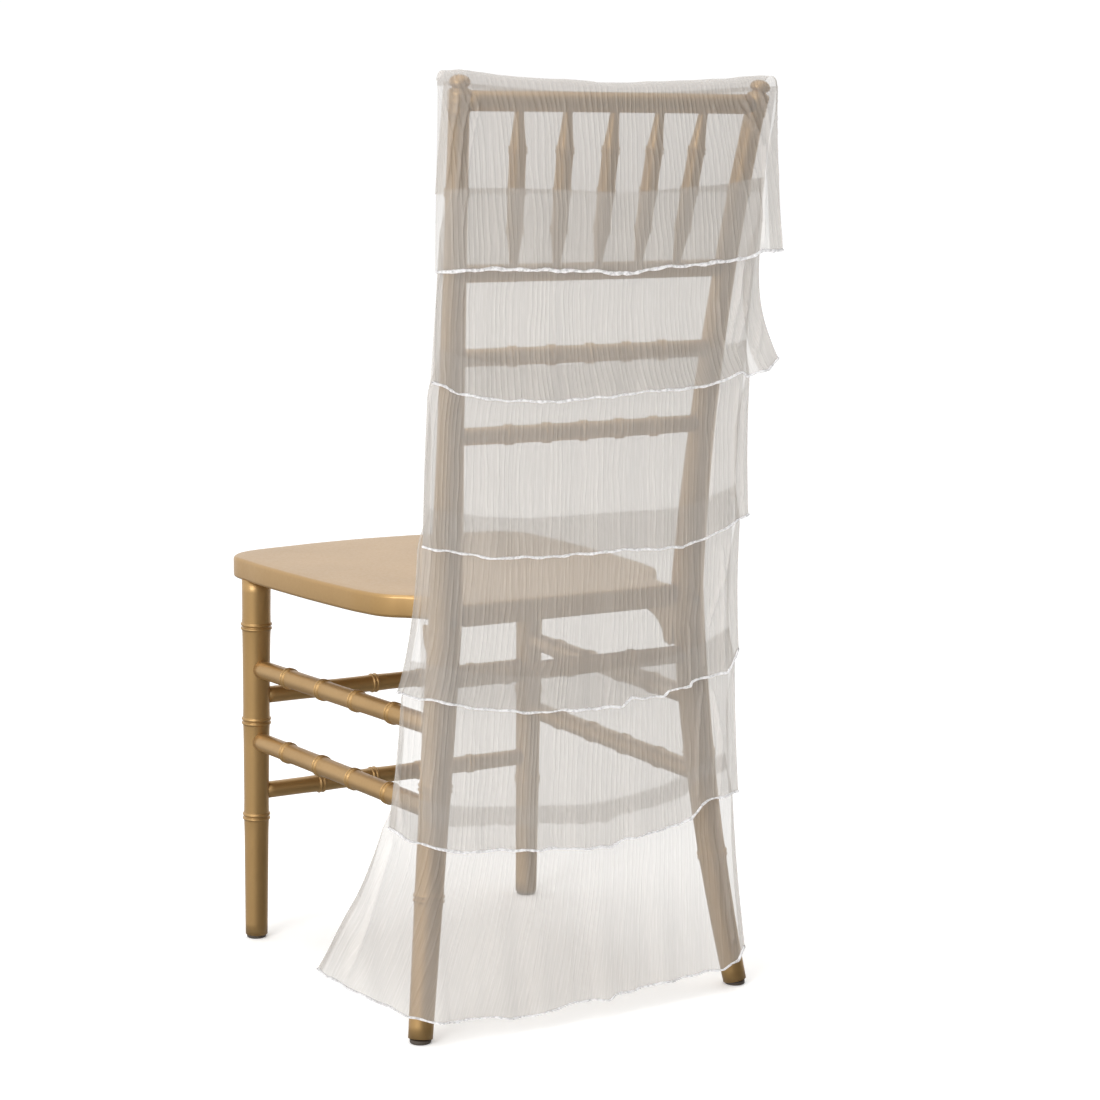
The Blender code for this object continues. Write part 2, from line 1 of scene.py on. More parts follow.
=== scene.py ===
# %% [markdown]
# # A gold ballroom chair in a tiered sheer cover
# The chair is a slatted "bamboo" chair: turned wooden posts, rails and stretchers, all painted satin gold.
# Over its back hangs a cover of thin crinkled organza in six tiers, each with a rolled white hem.
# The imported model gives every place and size. The finished pieces below are worked out from the same
# few numbers as its solids, so they fall in the same places, and each one stands for the solid it covers.

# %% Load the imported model
import bmesh
import bpy
import numpy as np
from mathutils import Matrix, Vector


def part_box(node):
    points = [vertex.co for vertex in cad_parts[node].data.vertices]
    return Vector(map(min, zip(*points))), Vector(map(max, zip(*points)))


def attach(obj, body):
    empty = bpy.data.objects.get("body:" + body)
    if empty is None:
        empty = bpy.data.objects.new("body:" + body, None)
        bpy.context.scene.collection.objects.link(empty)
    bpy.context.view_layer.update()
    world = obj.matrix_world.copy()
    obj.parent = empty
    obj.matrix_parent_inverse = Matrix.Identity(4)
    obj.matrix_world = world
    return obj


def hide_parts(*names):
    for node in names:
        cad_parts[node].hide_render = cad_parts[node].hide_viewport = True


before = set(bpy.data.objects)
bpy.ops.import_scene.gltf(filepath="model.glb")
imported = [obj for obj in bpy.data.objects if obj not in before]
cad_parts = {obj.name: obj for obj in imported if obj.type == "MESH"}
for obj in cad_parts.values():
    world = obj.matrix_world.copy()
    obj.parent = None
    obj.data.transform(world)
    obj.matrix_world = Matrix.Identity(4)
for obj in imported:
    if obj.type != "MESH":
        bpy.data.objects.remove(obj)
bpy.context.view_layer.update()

# %% [markdown]
# The chair is easiest to think about from its own middle: x = 0 halfway between the posts and y = 0
# where the posts pass the seat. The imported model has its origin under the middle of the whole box
# instead, so one shift is read back from the seat solid and added to every finished piece.

# %% Own middle to the model's frame
SEAT_FRONT = -0.4480
seat_low, seat_high = (np.array(corner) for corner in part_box("seat"))
SHIFT = np.array([(seat_low[0] + seat_high[0]) / 2, seat_low[1] - SEAT_FRONT, 0.0])
print("shift:", SHIFT.round(4))

# %% [markdown]
# Almost every piece here is a grid of points. One helper turns such a grid into a mesh, with one small
# face between each four neighbours. A second helper merges points that coincide, such as those at a pole,
# and turns all the faces outwards.

# %% Grid to mesh
def add_surface(name, points, closed=False, flat=None, **measures):
    """A mesh of four-sided faces on a grid of points (rows, columns, 3), measured from the chair's middle.
    closed joins the last column to the first. flat gives each point its place on the flat cloth in metres,
    and each further named measure is stored with the points for the material to read."""
    rows, columns = points.shape[:2]
    number = np.arange(rows * columns).reshape(rows, columns)
    if closed:
        number = np.hstack([number, number[:, :1]])
    corners = [number[:-1, :-1], number[1:, :-1], number[1:, 1:], number[:-1, 1:]]
    faces = np.stack(corners, axis=-1).reshape(-1, 4)
    mesh = bpy.data.meshes.new(name)
    mesh.vertices.add(rows * columns)
    mesh.vertices.foreach_set("co", (points + SHIFT).ravel())
    mesh.loops.add(faces.size)
    mesh.loops.foreach_set("vertex_index", faces.ravel())
    mesh.polygons.add(len(faces))
    mesh.polygons.foreach_set("loop_start", np.arange(0, faces.size, 4))
    mesh.update(calc_edges=True)
    mesh.validate()
    if flat is not None:
        layer = mesh.uv_layers.new(name="flat_cloth")
        layer.data.foreach_set("uv", flat.reshape(-1, 2)[faces.ravel()].ravel())
    for key, values in measures.items():
        layer = mesh.attributes.new(key, "FLOAT", "POINT")
        layer.data.foreach_set("value", np.ascontiguousarray(values, dtype=float).ravel())
    mesh.polygons.foreach_set("use_smooth", np.ones(len(faces), dtype=bool))
    piece = bpy.data.objects.new(name, mesh)
    bpy.context.scene.collection.objects.link(piece)
    return piece


def close_solid(piece):
    """Merges points closer than a hundredth of a millimetre and turns the faces outwards."""
    shape = bmesh.new()
    shape.from_mesh(piece.data)
    bmesh.ops.remove_doubles(shape, verts=shape.verts, dist=0.00001)
    bmesh.ops.recalc_face_normals(shape, faces=shape.faces)
    shape.to_mesh(piece.data)
    shape.free()
    return piece


# %% [markdown]
# A material is a small network of nodes. One function adds any node, sets its properties and fills its
# inputs, each with a number or with the output of another node. Colours are written as a designer writes
# them, as sRGB hex values, and one function turns them into the linear values that the shader wants.
# Three more helpers make what comes up again and again: noise, a change of range and a mix of two colours.

# %% Nodes and colours
def fill(tree, node, inputs):
    """Sets inputs of a node, by name or number, each to a value or to another node's output."""
    for socket, source in inputs.items():
        if isinstance(source, bpy.types.NodeSocket):
            tree.links.new(source, node.inputs[socket])
        else:
            node.inputs[socket].default_value = source


def add_node(tree, kind, inputs=None, **settings):
    """One node of a kind, with its settings and inputs."""
    node = tree.nodes.new(kind)
    for key, value in settings.items():
        setattr(node, key, value)
    fill(tree, node, inputs or {})
    return node


def colour(code):
    """sRGB hex to linear: each channel is ((c + 0.055) / 1.055) ** 2.4, above a short straight toe."""
    channel = np.array([int(code[i:i + 2], 16) for i in (1, 3, 5)]) / 255
    linear = np.where(channel > 0.04045, ((channel + 0.055) / 1.055) ** 2.4, channel / 12.92)
    return (*linear.tolist(), 1.0)


def new_material(name):
    """An empty material with one Principled surface; returns the material, its nodes and the surface."""
    material = bpy.data.materials.new(name)
    material.use_nodes = True
    tree = material.node_tree
    return material, tree, tree.nodes["Principled BSDF"]


def object_noise(tree, scale, detail=3.0):
    """Noise fixed to the object, with lumps about 1 / scale metres wide."""
    place = add_node(tree, "ShaderNodeTexCoord").outputs["Object"]
    inputs = {"Vector": place, "Scale": scale, "Detail": detail}
    return add_node(tree, "ShaderNodeTexNoise", inputs).outputs["Fac"]


def remap(tree, value, low, high, to_low, to_high, kind="LINEAR"):
    """A value from the range low to high, carried over to the range to_low to to_high."""
    inputs = {"Value": value, "From Min": low, "From Max": high, "To Min": to_low, "To Max": to_high}
    return add_node(tree, "ShaderNodeMapRange", inputs, interpolation_type=kind).outputs[0]


def mix_colours(tree, share, first, second):
    """The first hex colour at share 0, the second at share 1."""
    inputs = {0: share, 6: colour(first), 7: colour(second)}
    return add_node(tree, "ShaderNodeMix", inputs, data_type="RGBA").outputs[2]


# %% [markdown]
# ## The gold finish
# The wood is beech, turned, sealed and sprayed with a satin gold paint: fine metal flake in clear lacquer.
# To the eye that is a soft warm metal with wide dull highlights and no mirror. Metallic is kept below one,
# because the binder scatters some light, and the sprayed film has a faint unevenness of 2 to 4 mm, which
# goes into the roughness and a very low bump. Slow cloudy changes of tone keep long members from looking
# like plastic tube.

# %% Satin gold paint on turned beech
def make_gold():
    """Two golds mixed by slow noise (90 mm), roughness by finer noise (3 mm), and a spray texture as bump."""
    material, tree, surface = new_material("satin_gold_paint_on_beech")
    fine = object_noise(tree, 330.0, 2.0)
    bump = add_node(tree, "ShaderNodeBump", {"Height": fine, "Strength": 0.03, "Distance": 0.0003})
    fill(tree, surface, {
        "Base Color": mix_colours(tree, object_noise(tree, 11.0), "#A9854F", "#C09C68"),
        "Roughness": remap(tree, fine, 0.3, 0.7, 0.38, 0.48),
        "Normal": bump.outputs["Normal"],
        "Metallic": 0.80,
        "Coat Weight": 0.45,
        "Coat Roughness": 0.32,
    })
    return material


gold = make_gold()
print("finish:", gold.name)

# %% [markdown]
# Under each leg is a small pushed-in glide of dark nylon, moulded and a little scuffed. The two screws
# that hold the seat from behind are steel, blackened and dull.

# %% Glide nylon and blackened steel
SCUFFED = "#5A5046"


def make_dull(name, code, roughness, metallic, grain):
    """A colour scuffed paler by noise of the given scale, with roughness that wanders by the same noise."""
    material, tree, surface = new_material(name)
    noise = object_noise(tree, grain)
    fill(tree, surface, {
        "Base Color": mix_colours(tree, noise, code, SCUFFED),
        "Roughness": remap(tree, noise, 0.0, 1.0, roughness - 0.1, roughness + 0.1),
        "Metallic": metallic,
    })
    return material


nylon = make_dull("moulded_dark_nylon", "#3A332C", 0.55, 0.0, 600.0)
steel = make_dull("blackened_steel", "#4A4034", 0.45, 0.8, 900.0)

# %% [markdown]
# ## Turned members
# On a lathe a long stick is given its shape by its radius alone, so each member is a profile, radius by
# distance, carried along a line. The bamboo look comes from ring groups: two small beads side by side,
# each about 3.5 mm wide and 1.5 mm proud, with a groove between them, cut at the same stations on every
# leg. They need close stations there and few elsewhere.

# %% Profile along a path
BEAD_PITCH = 0.0051
BEAD_HALF_WIDTH = 0.00175
BEAD_RISE = 0.0015
GROOVE = 0.0004
SWELL = 0.0005
GROOVE_WIDTH = 0.0007
SWELL_WIDTH = 0.009


def bead_rings(along, rings, size=1.0):
    """Radius added by ring groups: two half-ellipse beads either side of each ring's middle, less a
    narrow groove between them, on a low swelling that fades within 9 mm to either side."""
    offset = along[:, None] - np.asarray(rings, dtype=float)[None, :]
    side = (np.abs(offset) - BEAD_PITCH * size / 2) / (BEAD_HALF_WIDTH * size)
    beads = BEAD_RISE * size * np.sqrt(np.clip(1 - side ** 2, 0, 1))
    groove = -GROOVE * np.exp(-((offset / (GROOVE_WIDTH * size)) ** 2))
    swell = SWELL * size * np.exp(-((offset / SWELL_WIDTH) ** 2))
    return (beads + groove + swell).sum(axis=1)


def stations(start, end, rings=(), step=0.012, size=1.0):
    """Distances along a member: one in each step, and one in every 0.35 mm over each ring group."""
    near = np.arange(-0.0056, 0.00561, 0.00035) * size
    fine = (np.asarray(rings, dtype=float)[:, None] + near[None, :]).ravel()
    coarse = np.linspace(start, end, max(3, int(abs(end - start) / step)))
    inside = fine[(fine > start) & (fine < end)]
    return np.unique(np.concatenate([coarse, inside]).round(6))


def turn(name, path, radii, around=40):
    """A round member. At each station of the path stands a circle square to the path, with the station's
    radius: centre + radius * (cos(angle) * side + sin(angle) * lift). The ends close in a pole."""
    path = np.vstack([path[:1], path, path[-1:]])
    radii = np.concatenate([[0.0], radii, [0.0]])
    run = path[-1] - path[0]
    ahead = np.gradient(path[1:-1], axis=0)
    ahead = np.vstack([ahead[:1], ahead, ahead[-1:]])
    ahead /= np.linalg.norm(ahead, axis=1, keepdims=True)
    guide = np.array([0.0, 1.0, 0.0]) if abs(run[2]) > abs(run[1]) else np.array([0.0, 0.0, 1.0])
    side = np.cross(ahead, guide)
    side /= np.linalg.norm(side, axis=1, keepdims=True)
    lift = np.cross(side, ahead)
    angle = np.linspace(0, 2 * np.pi, around, endpoint=False)[None, :, None]
    ring = np.cos(angle) * side[:, None, :] + np.sin(angle) * lift[:, None, :]
    points = path[:, None, :] + radii[:, None, None] * ring
    return close_solid(add_surface(name, points, closed=True))


def dress(piece, material, slot, *nodes):
    """Gives a finished piece its material and its body, and hides the solids that it stands for. The slot is
    not used.
    """
    piece.data.materials.append(material)
    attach(piece, "root")
    if nodes:
        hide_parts(*nodes)
    return piece


# %% [markdown]
# ## Back posts
# Each back post is one long bent stick: it leans back and outwards above the seat and splays below it.
# Its top is a small finial, a domed cap over a narrow neck and a shoulder, with three fine rings under it.
# Two ring groups sit on the lower part, and one by the middle of the spindles.

# %% The posts' bend and taper
SEAT_TOP = 0.420
SEAT_THICK = 0.023
CHAIR_HEIGHT = 0.920
GLIDE_HEIGHT = 0.004
POST_HALF_GAP = 0.1391
LEG_RINGS = (0.137, 0.243)
LEG_RING_SIZE = 0.9
FRONT_LEG_TOP_RING = 0.347
POST_TOP_RING = 0.8135
FINIAL_START = 0.8855
FINIAL = np.array([
    # height and radius, in millimetres
    (886, 10), (889, 11.2), (890.5, 10.2), (892.5, 11.3), (894.2, 10.3), (896.2, 11.4), (898, 10.6),
    (904, 11.2), (906.5, 10.4), (908, 7.2), (909.5, 6.8), (910.8, 8.8), (912.5, 9.9), (915, 9.6),
    (917.2, 8.2), (919, 5.6), (919.8, 2.8),
]) / 1000


def up_and_down(z):
    """Shares of the way from the seat up to the chair's top, and from the seat down to the floor."""
    return (z - SEAT_TOP) / (CHAIR_HEIGHT - SEAT_TOP), (SEAT_TOP - z) / SEAT_TOP


def post_out(z):
    """Half the distance between the posts: a straight and a square term, upwards and downwards."""
    up, down = up_and_down(z)
    above = POST_HALF_GAP + 0.0062 * up + 0.0212 * up ** 2
    below = POST_HALF_GAP + 0.0256 * down + 0.0202 * down ** 2
    return np.where(z >= SEAT_TOP, above, below)


def post_back(z):
    """How far back a post lies at a height."""
    up, down = up_and_down(z)
    return np.where(z >= SEAT_TOP, 0.0421 * up + 0.0380 * up ** 2, -0.0079 * down + 0.0357 * down ** 2)


def post_radius(z):
    """Radius of a post between its stations, straight from one to the next."""
    heights = (0.0, 0.14, 0.30, 0.42, 0.58, 0.74, 0.912, 0.92)
    return np.interp(z, heights, (0.0120, 0.0140, 0.0160, 0.01625, 0.0130, 0.0110, 0.0095, 0.0060))


# %% Turn the posts
SIDES = (("left", 1), ("right", -1))

for label, side in SIDES:
    rings = LEG_RINGS + (POST_TOP_RING,)
    z = stations(GLIDE_HEIGHT, FINIAL_START, rings)
    radii = np.concatenate([post_radius(z) + bead_rings(z, rings, LEG_RING_SIZE), FINIAL[:, 1]])
    z = np.concatenate([z, FINIAL[:, 0]])
    path = np.stack([side * post_out(z), post_back(z), z], axis=1)
    post = dress(turn("post_" + label, path, radii), gold, "gold_paint", "back_post_" + label)
    print(post.name, len(post.data.polygons), "faces")

# %% [markdown]
# ## Front legs, stretchers and rails
# The front legs are straight and stop under the seat. Stretchers and rails run from member to member with
# their ends let into the wood, so each finished one goes a few millimetres into its neighbour. Their ring
# groups were read off the photograph as shares of the length.

# %% Front legs
def leg_centre(z):
    """Centre line of a front leg: straight from the foot to the seat."""
    t = z / (SEAT_TOP - SEAT_THICK)
    return 0.1711 - 0.0010 * t, -0.3774 + 0.0107 * t


for label, side in SIDES:
    rings = LEG_RINGS + (FRONT_LEG_TOP_RING,)
    z = stations(GLIDE_HEIGHT, SEAT_TOP - SEAT_THICK + 0.001, rings)
    x, y = leg_centre(z)
    radii = np.interp(z, (0.0, 0.397), (0.0120, 0.0155)) + bead_rings(z, rings, LEG_RING_SIZE)
    path = np.stack([side * x, y, z], axis=1)
    leg = turn("leg_front_" + label, path, radii)
    dress(leg, gold, "gold_paint", "front_leg_" + label)
print("front legs:", len(leg.data.polygons), "faces each")

# %% Stretchers
STRETCHER_START = 0.008
STRETCHER_RING_SIZE = 0.85


def add_stretcher(name, start, end, radius, ring_shares, node):
    """A straight stick between two centre lines, with ring groups at shares of its length. It starts and
    ends 8 mm from the centre lines, which is inside the legs' surface."""
    start, end = np.asarray(start, dtype=float), np.asarray(end, dtype=float)
    length = np.linalg.norm(end - start)
    ahead = (end - start) / length
    rings = np.asarray(ring_shares) * length
    along = stations(STRETCHER_START, length - STRETCHER_START, rings, size=STRETCHER_RING_SIZE)
    path = start + along[:, None] * ahead
    radii = radius + bead_rings(along, rings, STRETCHER_RING_SIZE)
    return dress(turn(name, path, radii, 32), gold, "gold_paint", node)


for label, side in SIDES:
    for number, z in enumerate((0.301, 0.221), 1):
        x, y = leg_centre(z)
        start = (side * x, y, z)
        end = (side * float(post_out(z)), float(post_back(z)), z)
        tail = "%s_%d" % (label, number)
        shares = (0.20, 0.396, 0.58, 0.774)
        add_stretcher("stretcher_" + tail, start, end, 0.0098, shares, "side_stretcher_" + tail)
for number, z in enumerate((0.270, 0.164), 1):
    x, y = leg_centre(z)
    shares = (0.224, 0.415, 0.585, 0.776)
    node = "front_stretcher_%d" % number
    add_stretcher("stretcher_front_%d" % number, (-x, y, z), (x, y, z), 0.0090, shares, node)
z = 0.347
x, y = float(post_out(z)), float(post_back(z))
add_stretcher("stretcher_rear", (-x, y, z), (x, y, z), 0.0090, (0.25, 0.5, 0.75), "rear_stretcher")
print("stretchers: 7")

# %% [markdown]
# The rails across the back are not quite straight: they bow 6 mm backwards in the middle. Two of them
# carry five ring groups each. The five spindles between the top rail and the first rail are long lenses
# with a narrow neck at either end and three ring groups.

# %% Bowed rails
BACK_BOW = 0.0060
RAIL_RING_SIZE = 0.95
RAILS = {
    # node: (height, radius, ring groups as shares of the half length)
    "top_rail": (0.8970, 0.0095, ()),
    "back_rail_1": (0.7390, 0.0085, ()),
    "back_rail_2": (0.6595, 0.0085, (-0.6, -0.3, 0.0, 0.3, 0.6)),
    "back_rail_3": (0.5840, 0.0085, (-0.6, -0.3, 0.0, 0.3, 0.6)),
}


def back_bow(x):
    """How far the rails bow back: most in the middle, falling with the square of the distance from it."""
    return BACK_BOW * (1 - np.minimum(1, np.abs(x) / POST_HALF_GAP) ** 2)


for node, (z, radius, shares) in RAILS.items():
    half = float(post_out(z)) - 0.006
    rings = np.array(shares) * half
    x = stations(-half, half, rings, size=RAIL_RING_SIZE)
    path = np.stack([x, post_back(z) + back_bow(x), np.full_like(x, z)], axis=1)
    rail = turn("rail_" + node, path, radius + bead_rings(x, rings, RAIL_RING_SIZE), 32)
    dress(rail, gold, "gold_paint", node)
print("rails:", len(RAILS))

# %% Spindles
SPINDLE_SHARES = (0.0, 0.04, 0.10, 0.22, 0.48, 0.755, 0.88, 0.96, 1.0)
SPINDLE_RADII = (0.0040, 0.0046, 0.0056, 0.0076, 0.0080, 0.0078, 0.0058, 0.0048, 0.0044)
SPINDLE_RINGS = np.array([0.22, 0.477, 0.755])
SPINDLE_RING_SIZE = 0.75


def rail_point(node, share):
    """A point on a rail's centre line, at a share of half the distance between the posts."""
    z = RAILS[node][0]
    x = share * float(post_out(z))
    return np.array([x, post_back(z) + back_bow(x), z])


for number in range(5):
    low = rail_point("back_rail_1", (number - 2) * 0.300)
    top = rail_point("top_rail", (number - 2) * 0.312)
    length = np.linalg.norm(top - low)
    ahead = (top - low) / length
    first, last = 0.0090, length - 0.0100
    rings = first + (last - first) * SPINDLE_RINGS
    along = stations(first - 0.003, last + 0.003, rings, 0.004, SPINDLE_RING_SIZE)
    radii = np.interp((along - first) / (last - first), SPINDLE_SHARES, SPINDLE_RADII)
    radii = radii + bead_rings(along, rings, SPINDLE_RING_SIZE)
    spindle = turn("spindle_turned_%d" % (number + 1), low + along[:, None] * ahead, radii, 28)
    dress(spindle, gold, "gold_paint", "spindle_%d" % (number + 1))
print("spindles: 5,", round(float(length) * 1000), "mm long")

# %% [markdown]
# ## Seat and brackets
# The seat is one flat board, wider in front and cut in towards the back, where it passes between the
# posts, with all its edges rounded over. It is one surface: rows of points run from the middle of the
# underside out to the rim, round the edge and back to the middle of the top. The outline between the
# measured corners is a smooth curve through them. The blocks under the back corners are made alike: a long
# curved bracket on the right, and on the left only a short block, since the photograph shows no more.

# %% A rounded board
SEAT_OUTLINE = np.array([
    # x and y along the half of the rim at +x, from the front to the back, in millimetres
    (0, -448), (62, -444), (103, -437.5), (141, -431), (164, -421), (178, -406), (184, -390), (185, -361),
    (185, -312), (181, -223), (174, -145), (169.5, -118), (165, -99), (156, -83), (142, -69.5), (132, -56),
    (125, -35), (121.8, -15), (121.7, -7), (121.5, -3), (120.7, 0), (118.5, 2.2), (115.5, 3), (111, 3),
    (102, 3), (88, 3), (64, 3), (36, 3), (12, 3),
]) / 1000


def smooth_outline(corners, steps=8):
    """A closed curve through all corners: each stretch is a cubic that leaves along the line between the
    neighbours on either side (the Catmull-Rom rule)."""
    before, after = np.roll(corners, 1, axis=0), np.roll(corners, -1, axis=0)
    beyond = np.roll(corners, -2, axis=0)
    t = (np.arange(steps) / steps)[None, :, None]
    a, b, c, d = (part[:, None, :] for part in (before, corners, after, beyond))
    curve = 0.5 * (2 * b + (c - a) * t + (2 * a - 5 * b + 4 * c - d) * t ** 2
                   + (3 * b - a - 3 * c + d) * t ** 3)
    return curve.reshape(-1, 2)


def board(outline, hub, thick, rounding):
    """Grid of a flat board, middle at z = 0. Each row is the outline, drawn in from the rim: the rows go from
    the hub underneath out to the rim, round it in two quarter circles, and in to the hub on top."""
    ahead = np.roll(outline, -1, axis=0) - np.roll(outline, 1, axis=0)
    ahead /= np.linalg.norm(ahead, axis=1, keepdims=True)
    inward = np.stack([-ahead[:, 1], ahead[:, 0]], axis=1)
    turns = np.linspace(0, np.pi / 2, 7)
    inset = rounding * np.concatenate([1 - np.sin(turns), 1 - np.cos(turns)])
    lift = np.concatenate([-thick / 2 + rounding * (1 - np.cos(turns)),
                           thick / 2 - rounding * (1 - np.sin(turns))])
    rim = outline[None] + inset[:, None, None] * inward[None]
    share = np.array([0.0, 0.25, 0.5, 0.75, 0.92])[:, None, None]
    under = hub + (rim[:1] - hub) * share
    over = hub + (rim[-1:] - hub) * share[::-1]
    flat = np.concatenate([under, rim, over])
    height = np.concatenate([np.full(len(share), -thick / 2), lift, np.full(len(share), thick / 2)])
    return np.concatenate([flat, np.broadcast_to(height[:, None, None], flat.shape[:2] + (1,))], axis=2)


# %% The seat board
SEAT_HUB = np.array([0.0, -0.25])
mirrored = SEAT_OUTLINE[1:] * (-1, 1)
corners = np.vstack([mirrored[::-1], SEAT_OUTLINE])
seat_grid = board(smooth_outline(corners), SEAT_HUB, SEAT_THICK, 0.0035)
seat_grid[..., 2] += SEAT_TOP - SEAT_THICK / 2
seat = dress(close_solid(add_surface("seat_board", seat_grid, closed=True)), gold, "gold_paint", "seat")
print("seat:", len(seat.data.polygons), "faces")

# %% The brackets under the seat
BRACKET_HUB = np.array([-0.0230, 0.3880])
BRACKET_THICK = 0.016
BRACKET_OUTLINES = {
    # y and height round the side view, in millimetres
    "right": np.array([
        (-16.8, 356), (-24, 356), (-29, 357.5), (-33, 368), (-44, 379), (-62, 386), (-88, 389.5),
        (-90, 392), (-90, 396), (-55, 396.5), (-16.8, 396.5), (-15, 380),
    ]) / 1000,
    "left": np.array([
        (-16, 370.5), (-23, 370), (-28.5, 378), (-30.8, 388), (-31, 395.5), (-24, 396.5), (-16.8, 396.5),
        (-15, 385),
    ]) / 1000,
}
for label, side in SIDES:
    flat = board(smooth_outline(BRACKET_OUTLINES[label], 4), BRACKET_HUB, BRACKET_THICK, 0.0015)
    standing = np.stack([side * POST_HALF_GAP + flat[..., 2], flat[..., 0], flat[..., 1]], axis=-1)
    bracket = close_solid(add_surface("bracket_" + label, standing, closed=True))
    dress(bracket, gold, "gold_paint", "seat_bracket_" + label)
print("brackets: 2")

# %% Glides and screws
GLIDE_HEIGHTS = np.array([0.0, 0.0004, 0.0012, 0.0034, 0.0042])
GLIDE_RADII = np.array([0.0092, 0.0101, 0.0105, 0.0105, 0.0100])
SCREW_HEIGHT = 0.405
SCREW_DEPTHS = np.array([-0.0020, 0.0012, 0.0018, 0.0021, 0.0023])
SCREW_RADII = np.array([0.0036, 0.0036, 0.0031, 0.0018, 0.0006])

for label, side in SIDES:
    back_foot = float(post_out(GLIDE_HEIGHT)), float(post_back(GLIDE_HEIGHT))
    for end, (x, y) in (("back", back_foot), ("front", leg_centre(0.0))):
        path = np.stack([np.full(5, side * x), np.full(5, y), GLIDE_HEIGHTS], axis=1)
        glide = turn("glide_%s_%s_moulded" % (end, label), path, GLIDE_RADII)
        dress(glide, nylon, "dark_plastic", "glide_%s_%s" % (end, label))
    x = side * float(post_out(SCREW_HEIGHT))
    y = float(post_back(SCREW_HEIGHT) + post_radius(SCREW_HEIGHT)) + SCREW_DEPTHS
    path = np.stack([np.full(5, x), y, np.full(5, SCREW_HEIGHT)], axis=1)
    dress(turn("screw_" + label, path, SCREW_RADII, 24), steel, "dark_metal", "seat_screw_" + label)
print("glides: 4, screws: 2")

# %% [markdown]
# ## The sheer cloth
# The cover is crinkle organza: thin twisted polyester threads in an open plain weave, steamed so that it
# keeps fine upright crinkles a few millimetres apart. It lets about half of the light straight through.
# Along the top of each crinkle the cloth doubles, and a thin pale line shows there. How dense the cloth
# looks is worked out from its crinkles, stored with the points of the sheet, and read by the material.

# %% Crinkle organza
ORGANZA = "#C0B9B1"
CRINKLE_TOP = "#F3F0ED"
ORGANZA_THIN = 0.44
ORGANZA_DENSE = 0.97


def make_organza():
    """See-through cloth: alpha runs from thin to dense with the stored density, and the colour from the
    cloth's to the paler one on top of a crinkle. Streaks 1.5 mm wide and 40 mm long vary both a little."""
    material, tree, surface = new_material("crinkle_organza")
    density = add_node(tree, "ShaderNodeAttribute", attribute_name="density").outputs["Fac"]
    flat = add_node(tree, "ShaderNodeUVMap", uv_map="flat_cloth").outputs["UV"]
    squeezed = add_node(tree, "ShaderNodeMapping", {"Vector": flat, "Scale": (650.0, 25.0, 1.0)}).outputs[0]
    inputs = {"Vector": squeezed, "Scale": 1.0, "Detail": 2.0}
    streak = add_node(tree, "ShaderNodeTexNoise", inputs, noise_dimensions="2D").outputs["Fac"]
    fine = remap(tree, streak, 0.35, 0.75, -0.03, 0.07)
    both = add_node(tree, "ShaderNodeMath", {0: density, 1: fine}, operation="ADD").outputs[0]
    fill(tree, surface, {
        "Alpha": remap(tree, both, 0.0, 1.0, ORGANZA_THIN, ORGANZA_DENSE),
        "Base Color": mix_colours(tree, both, ORGANZA, CRINKLE_TOP),
        "Roughness": 0.72,
        "Sheen Weight": 0.25,
        "Sheen Roughness": 0.4,
    })
    return material


organza = make_organza()

# %% [markdown]
# The hems are rolled and overlocked: the edge is curled into a thin cord and wrapped closely with white
# thread, so it is nearly opaque, whiter than the cloth, and lumpy where the crinkles are caught in.

# %% Overlocked hem thread
def make_hem():
    """White thread wound round the rolled edge: lumps about 4 mm long vary its tone, alpha and bump."""
    material, tree, surface = new_material("overlocked_white_thread")
    noise = object_noise(tree, 260.0)
    bump = add_node(tree, "ShaderNodeBump", {"Height": noise, "Strength": 0.25, "Distance": 0.0004})
    fill(tree, surface, {
        "Base Color": mix_colours(tree, noise, "#E4E1E2", "#FAFAFB"),
        "Alpha": remap(tree, noise, 0.35, 0.55, 0.60, 0.90),
        "Normal": bump.outputs["Normal"],
        "Roughness": 0.8,
    })
    return material


thread = make_hem()
print("cloth finishes:", organza.name, "and", thread.name)

# %% [markdown]
# ## How the cloth hangs
# The cover is a hood over the chair's back with a short flap in front, and behind the back a plain lining
# that carries five more tiers, each sewn on under the hem above. Every layer follows the backs of the
# posts and the bow of the rails, a few millimetres further out than the one inside it. These functions
# give the same places as the solids have, for whole arrays of points at once.

# %% Lie of the cover
ARCH_HEIGHT = 0.0080
POST_CLEARANCE = 0.0022
LINING_CLEARANCE = 0.0026
TIER_CLEARANCE = 0.0046
HEM_STAND_OFF = 0.0105
HALF_CLOTH = 0.0005
SHEET_GAP = 0.0005
SIDE_CURL = 0.0030
CREST_LOW = 0.9158
CREST_HIGH = 0.9242


def ease(t):
    """0 below 0, 1 above 1 and 3t^2 - 2t^3 between them."""
    t = np.clip(t, 0, 1)
    return t * t * (3 - 2 * t)


def back_face(z):
    """The plane that touches the backs of both posts."""
    return post_back(z) + post_radius(z)


def cover_top(x):
    """Top edge of the cover, held up by the posts and slack between them (power 1.6)."""
    share = np.minimum(1, np.abs(x) / float(post_out(CHAIR_HEIGHT)))
    return CREST_LOW + (CREST_HIGH - CREST_LOW) * share ** 1.6


def side_curl(x):
    """Outside the posts the cloth turns 3 mm forward, eased over 20 mm."""
    return -SIDE_CURL * ease((np.abs(x) - 0.165) / 0.020)


# %% [markdown]
# Smooth random unevenness is needed in many places: the wander of a crinkle, the lumps of a hem. It comes
# from a lattice of fixed random numbers, read between its points with an eased step, so that it is the
# same on every run.

